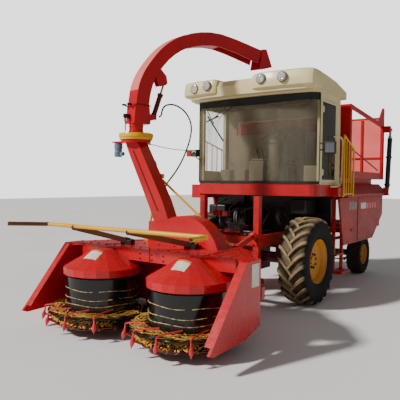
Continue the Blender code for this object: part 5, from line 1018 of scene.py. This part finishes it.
# A dark pane over the door glass is painted shade for the shaded cab behind it.
outer_pane = [limits((1.0402, 1.0422), (0.072, 0.588), (1.81, 2.935))]
piece("door_pane_painted_shade", outer_pane, PAINTED_SHADE_GLASS, "cab_door")
print("cab dressed")

# %% [markdown]
# ## Below the cab
# Between the axle and the cab stand the driveline, the radiator's screen, oil tanks and
# valves. Nearly all of it lies in deep shade, so the big shapes matter: a black screen behind,
# which is also painted shade for the dark under the cab, pulleys and belts, two tanks, a valve block and a few hoses.

# %% Screen, tanks, pulleys, valves and pipes
# The black screen and its bars are a screen and also painted shade: a dark wall across the bay where the shade under
# the cab falls.
screen = [limits((-0.98, 0.98), (0.60, 0.62), (1.03, 1.56)),
          limits((-0.40, 0.40), (0.56, 0.60), (0.70, 1.03)),
          limits((-1.02, -0.49), (0.50, 0.52), (1.03, 1.56)),
          limits((0.49, 0.98), (0.50, 0.52), (1.03, 1.30))]
bars = [limits((-0.96, 0.96), (0.585, 0.60), (z, z + 0.012)) for z in np.arange(1.06, 1.54, 0.045)]
piece("radiator_screen_and_painted_shade", screen + bars, BLACK, "chassis")
tanks = [limits((-0.84, -0.52), (-0.05, 0.38), (1.05, 1.40)),
         limits((0.56, 0.80), (0.06, 0.46), (1.29, 1.52)),
         limits((-0.30, 0.10), (0.05, 0.42), (0.74, 1.00))]
piece("tanks_and_gearbox", tanks, BLACK, "chassis", bevel=0.02)


def pulley(centre, radius, width):
    """A grooved wheel turned about the x axis."""
    half = width / 2
    return lathe([(0, -half), (radius, -half), (radius, -0.7 * half), (0.88 * radius, 0),
                  (radius, 0.7 * half), (radius, half),
                  (0.8 * radius, half), (0.75 * radius, 0.4 * half), (0.3 * radius, 0.4 * half),
                  (0.25 * radius, 1.3 * half), (0, 1.3 * half)],
                 centre, (1, 0, 0), 40)


wheels = [pulley((-0.33, 0.10, 1.20), 0.16, 0.06), pulley((-0.33, -0.38, 1.16), 0.10, 0.06),
          pulley((0.30, 0.30, 1.24), 0.14, 0.05)]
piece("pulleys", wheels, IRON, "chassis")
belt_line = []
for centre_y, centre_z, radius, turn_low, turn_high in ((0.10, 1.20, 0.162, -100, 95),
                                                        (-0.38, 1.16, 0.102, 95, 260)):
    w = np.radians(np.linspace(turn_low, turn_high, 24))
    belt_line.append(np.c_[np.full(24, -0.33), centre_y + radius * np.cos(w), centre_z + radius * np.sin(w)])
belt_line = np.concatenate(belt_line + [belt_line[0][:1]])
piece("drive_belt", [sweep(belt_line, [(-0.006, -0.02), (0.006, -0.02), (0.006, 0.02), (-0.006, 0.02)],
                           (1, 0, 0))], BLACK_PLASTIC, "chassis")
valves = [block((0.02, -0.62, 1.10), (0.20, 0.12, 0.10)), block((-0.10, -0.60, 1.19), (0.06, 0.06, 0.09)),
          block((0.10, -0.60, 1.19), (0.06, 0.06, 0.09)),
          rod((-0.14, -0.62, 1.16), (0.18, -0.62, 1.16), 0.018, 12)]
piece("valve_block", valves, IRON, "chassis", bevel=0.006)
piece("red_valves", [block((-0.34, -0.55, 1.30), (0.13, 0.10, 0.08)),
                     block((-0.19, -0.55, 1.29), (0.09, 0.09, 0.07)),
                     block((0.02, -0.70, 1.05), (0.24, 0.05, 0.03))], FRESH_RED, "chassis",
                     bevel=0.008)
lines = [[(-0.40, -0.2, 1.50), (-0.42, -0.45, 1.42), (-0.34, -0.60, 1.33)],
         [(-0.05, -0.60, 1.24), (-0.06, -0.66, 1.38), (-0.02, -0.4, 1.50)],
         [(0.10, -0.60, 1.24), (0.16, -0.68, 1.34), (0.30, -0.40, 1.42), (0.33, -0.1, 1.30)],
         [(-0.12, -0.62, 1.06), (-0.26, -0.62, 0.98), (-0.34, -0.4, 1.04)],
         [(0.12, -0.64, 1.06), (0.24, -0.70, 1.02), (0.36, -0.55, 1.10), (0.38, -0.3, 1.3)],
         [(-0.2, -0.5, 1.30), (-0.1, -0.2, 1.36), (0.1, 0.1, 1.32), (0.26, 0.3, 1.2)]]
piece("oil_pipes", [sweep(smooth_line(knots, 0.02), circle(0.011, 8), (1, 0.3, 0.2)) for knots in lines],
      HOSE, "chassis")
flanges = bolts([(x, -0.80, z) for x in (-0.48, -0.42, 0.42, 0.48) for z in (0.89, 0.99)], (0, -1, 0),
                0.012, 0.01)
piece("rail_bolts", [flanges], BLACK, "chassis")
print("bay dressed")

# %% [markdown]
# ## Covers, ladder and bin
# The covers carry faded bands, which stay blank. The bin's walls are sheet with upright
# ribs, the tip cylinder has a collar at each end, and the ladder ends in a bright step.

# %% Bands, seams, ribs and collars
bands = [limits((1.1503, 1.1525), (0.97 + 0.135 * i, 1.075 + 0.135 * i), (1.345, 1.465)) for i in range(3)]
piece("cover_bands_front", bands, GREY_FILM, "side_cover_front_left")
piece("cover_band_middle", [limits((1.1503, 1.1525), (1.56, 1.84), (1.34, 1.44))], WHITE_FILM,
      "side_cover_rear_left")
piece("cover_bands_rear", [limits((1.1503, 1.1515), (1.89 + 0.15 * i, 1.98 + 0.15 * i),
                                  (1.335, 1.43)) for i in range(4)], PINK_FILM_AND_PAINTED_HIGHLIGHT,
      "side_cover_rear_left")
for side, sign in SIDES:
    front = [limits(sorted((sign * 1.1503, sign * 1.156)), (0.56, 1.40), (1.495, 1.51)),
             limits(sorted((sign * 1.1503, sign * 1.160)), (1.395, 1.423), (0.82, 1.51))]
    rear = [limits(sorted((sign * 1.1503, sign * 1.156)), (1.45, 2.84), (1.495, 1.51)),
            limits(sorted((sign * 1.1503, sign * 1.156)), (1.46, 2.22), (0.815, 0.835))]
    latch = [rod((sign * 1.150, 1.08, 1.02), (sign * 1.168, 1.08, 1.02), 0.022, 16)]
    piece("cover_fold_front_" + side, front + latch, COVER_RED, "side_cover_front_" + side,
          bevel=0.002)
    piece("cover_fold_rear_" + side, rear, COVER_RED, "side_cover_rear_" + side, bevel=0.002)
step = [limits((0.955, 1.155), (0.665, 1.055), (0.383, 0.389))]
tread = [limits((0.965 + 0.03 * i, 0.972 + 0.03 * i), (0.68, 1.04), (0.389, 0.394)) for i in range(6)]
piece("bright_step", step + tread, FRESH_RED, "chassis")
# A pale pink sheet on the bin's rear wall: painted highlight, the sunlit look of the wall's red inner face.
rear_sheet = [limits((-1.06, 1.06), (2.961, 2.968), (1.89, 2.99))]
piece("bin_rear_painted_highlight", rear_sheet, PINK_FILM_AND_PAINTED_HIGHLIGHT, "bin")
ribs = [limits((x - 0.02, x + 0.02), (2.935, 2.9605), (1.89, 2.99)) for x in (-0.85, -0.33, 0.19, 0.71)]
ribs += [limits((-1.06, 1.06), (2.94, 2.9605), (2.24, 2.27))]
piece("bin_ribs", ribs, RED, "bin", bevel=0.003)
front_ribs = [limits((x - 0.02, x + 0.02), (1.025, 1.0495), (1.87, 3.02)) for x in (-0.9, -0.3, 0.3, 0.9)]
piece("bin_front_ribs", front_ribs, RED, "bin", bevel=0.003)
piece("bay_hand_line", [rod((1.135, 1.09, 2.31), (1.135, 2.55, 2.01), 0.011, 10)], DARK_RED, "chassis")
foot, eye = np.array([1.16, 3.12, 1.66]), np.array([1.20, 3.12, 2.80])
line = unit(eye - foot)
collars = [(0, 0), (0.052, 0), (0.058, 0.012), (0.058, 0.030), (0.048, 0.034), (0.048, 0.036), (0, 0.036)]
piece("tip_collars", [lathe(collars, foot + line * 0.07, line, 24),
                      lathe(collars, foot + line * 0.60, line, 24)], BLACK, "tip_barrel")

# %% [markdown]
# The outer skin of the spout is drawn paler than its sides as a painted highlight, the sunlit look of its red outer
# face.
# A thin sheet follows the curve of that skin, so the painted highlight has its own surface.

# %% The spout's painted highlight skin
outer = smooth_line([(-0.045, 0, 2.80), (-0.02, 0, 3.05), (0.13, 0, 3.33), (0.45, 0, 3.67), (0.90, 0, 3.91),
                     (1.50, 0, 4.02), (2.40, 0, 3.95)], 0.04)
outer = outer[(outer[:, 0] < 0.80)]
skin_path = np.array([on_spout(along, height) for along, _, height in outer])
skin = sweep(skin_path, [(-0.094, -0.001), (0.094, -0.001), (0.094, 0.0022), (-0.094, 0.0022)],
             np.cross((*ASIDE, 0), (0, 0, 1)))
# The pale sheet along the spout's back is painted highlight.
piece("spout_painted_highlight_skin", [skin], PINK_FILM_AND_PAINTED_HIGHLIGHT, "spout")
print("skin length", round(length_of(skin_path), 2))

# %% [markdown]
# ## Camera and light
# The camera stands about 1.7 m up, in front and to the left, with a 45 mm lens. The light
# is a soft studio version of a bright day: one broad sun from the front right above, and
# a pale room for the shade.

# %% Camera, lights and floor
yaw, pitch, roll = np.radians([34.96, -1.928, 0.627])
ahead = np.array([-math.sin(yaw) * math.cos(pitch), math.cos(yaw) * math.cos(pitch), math.sin(pitch)])
across = unit(np.cross(ahead, (0, 0, 1)))
upward = np.cross(across, ahead)
tilt_x, tilt_y = math.cos(roll) * across + math.sin(roll) * upward, -math.sin(roll) * across + math.cos(roll) * upward
view = bpy.data.cameras.new("view")
view.lens, view.sensor_width = 45.37, 36.0
view.clip_end = 200
camera = bpy.data.objects.new("view", view)
camera.matrix_world = Matrix.LocRotScale(np.array([3.779, -6.910, 1.743]) + AXLE,
                                         Matrix(np.stack([tilt_x, tilt_y, -ahead], -1).tolist()), None)
bpy.context.scene.collection.objects.link(camera)
bpy.context.scene.camera = camera

sun_data = bpy.data.lights.new("sun", "SUN")
sun_data.energy, sun_data.angle = 4.3, math.radians(6)
sun_data.color = (1.0, 0.97, 0.92)
sun = bpy.data.objects.new("sun", sun_data)
toward = unit((0.56, 0.78, -0.70))
_, e1, e2 = square_ways(-toward)
sun.matrix_world = Matrix(np.stack([e1, e2, -toward], -1).tolist()).to_4x4()
bpy.context.scene.collection.objects.link(sun)
world = bpy.data.worlds.new("pale room")
world.use_nodes = True
room = world.node_tree
backing = room.nodes["Background"]
backing.inputs["Color"].default_value = linear("#f6f7f8")
seen = add(room, "ShaderNodeLightPath", {}).outputs["Is Camera Ray"]
strength = add(room, "ShaderNodeMapRange", {"Value": seen, "To Min": 0.22, "To Max": 2.2})
room.links.new(strength.outputs[0], backing.inputs["Strength"])
bpy.context.scene.world = world

floor_finish = plain("pale studio floor", "#f4f4f3", "#efefee", 0.9, 0.4, bump=0.0)
floor_mesh = bpy.data.meshes.new("floor")
corner = np.array([(-40, -40, 0), (40, -40, 0), (40, 60, 0), (-40, 60, 0)], float)
floor_mesh.from_pydata(corner.tolist(), [], [(0, 1, 2, 3)])
floor_mesh.materials.append(floor_finish)
floor = bpy.data.objects.new("floor", floor_mesh)
bpy.context.scene.collection.objects.link(floor)
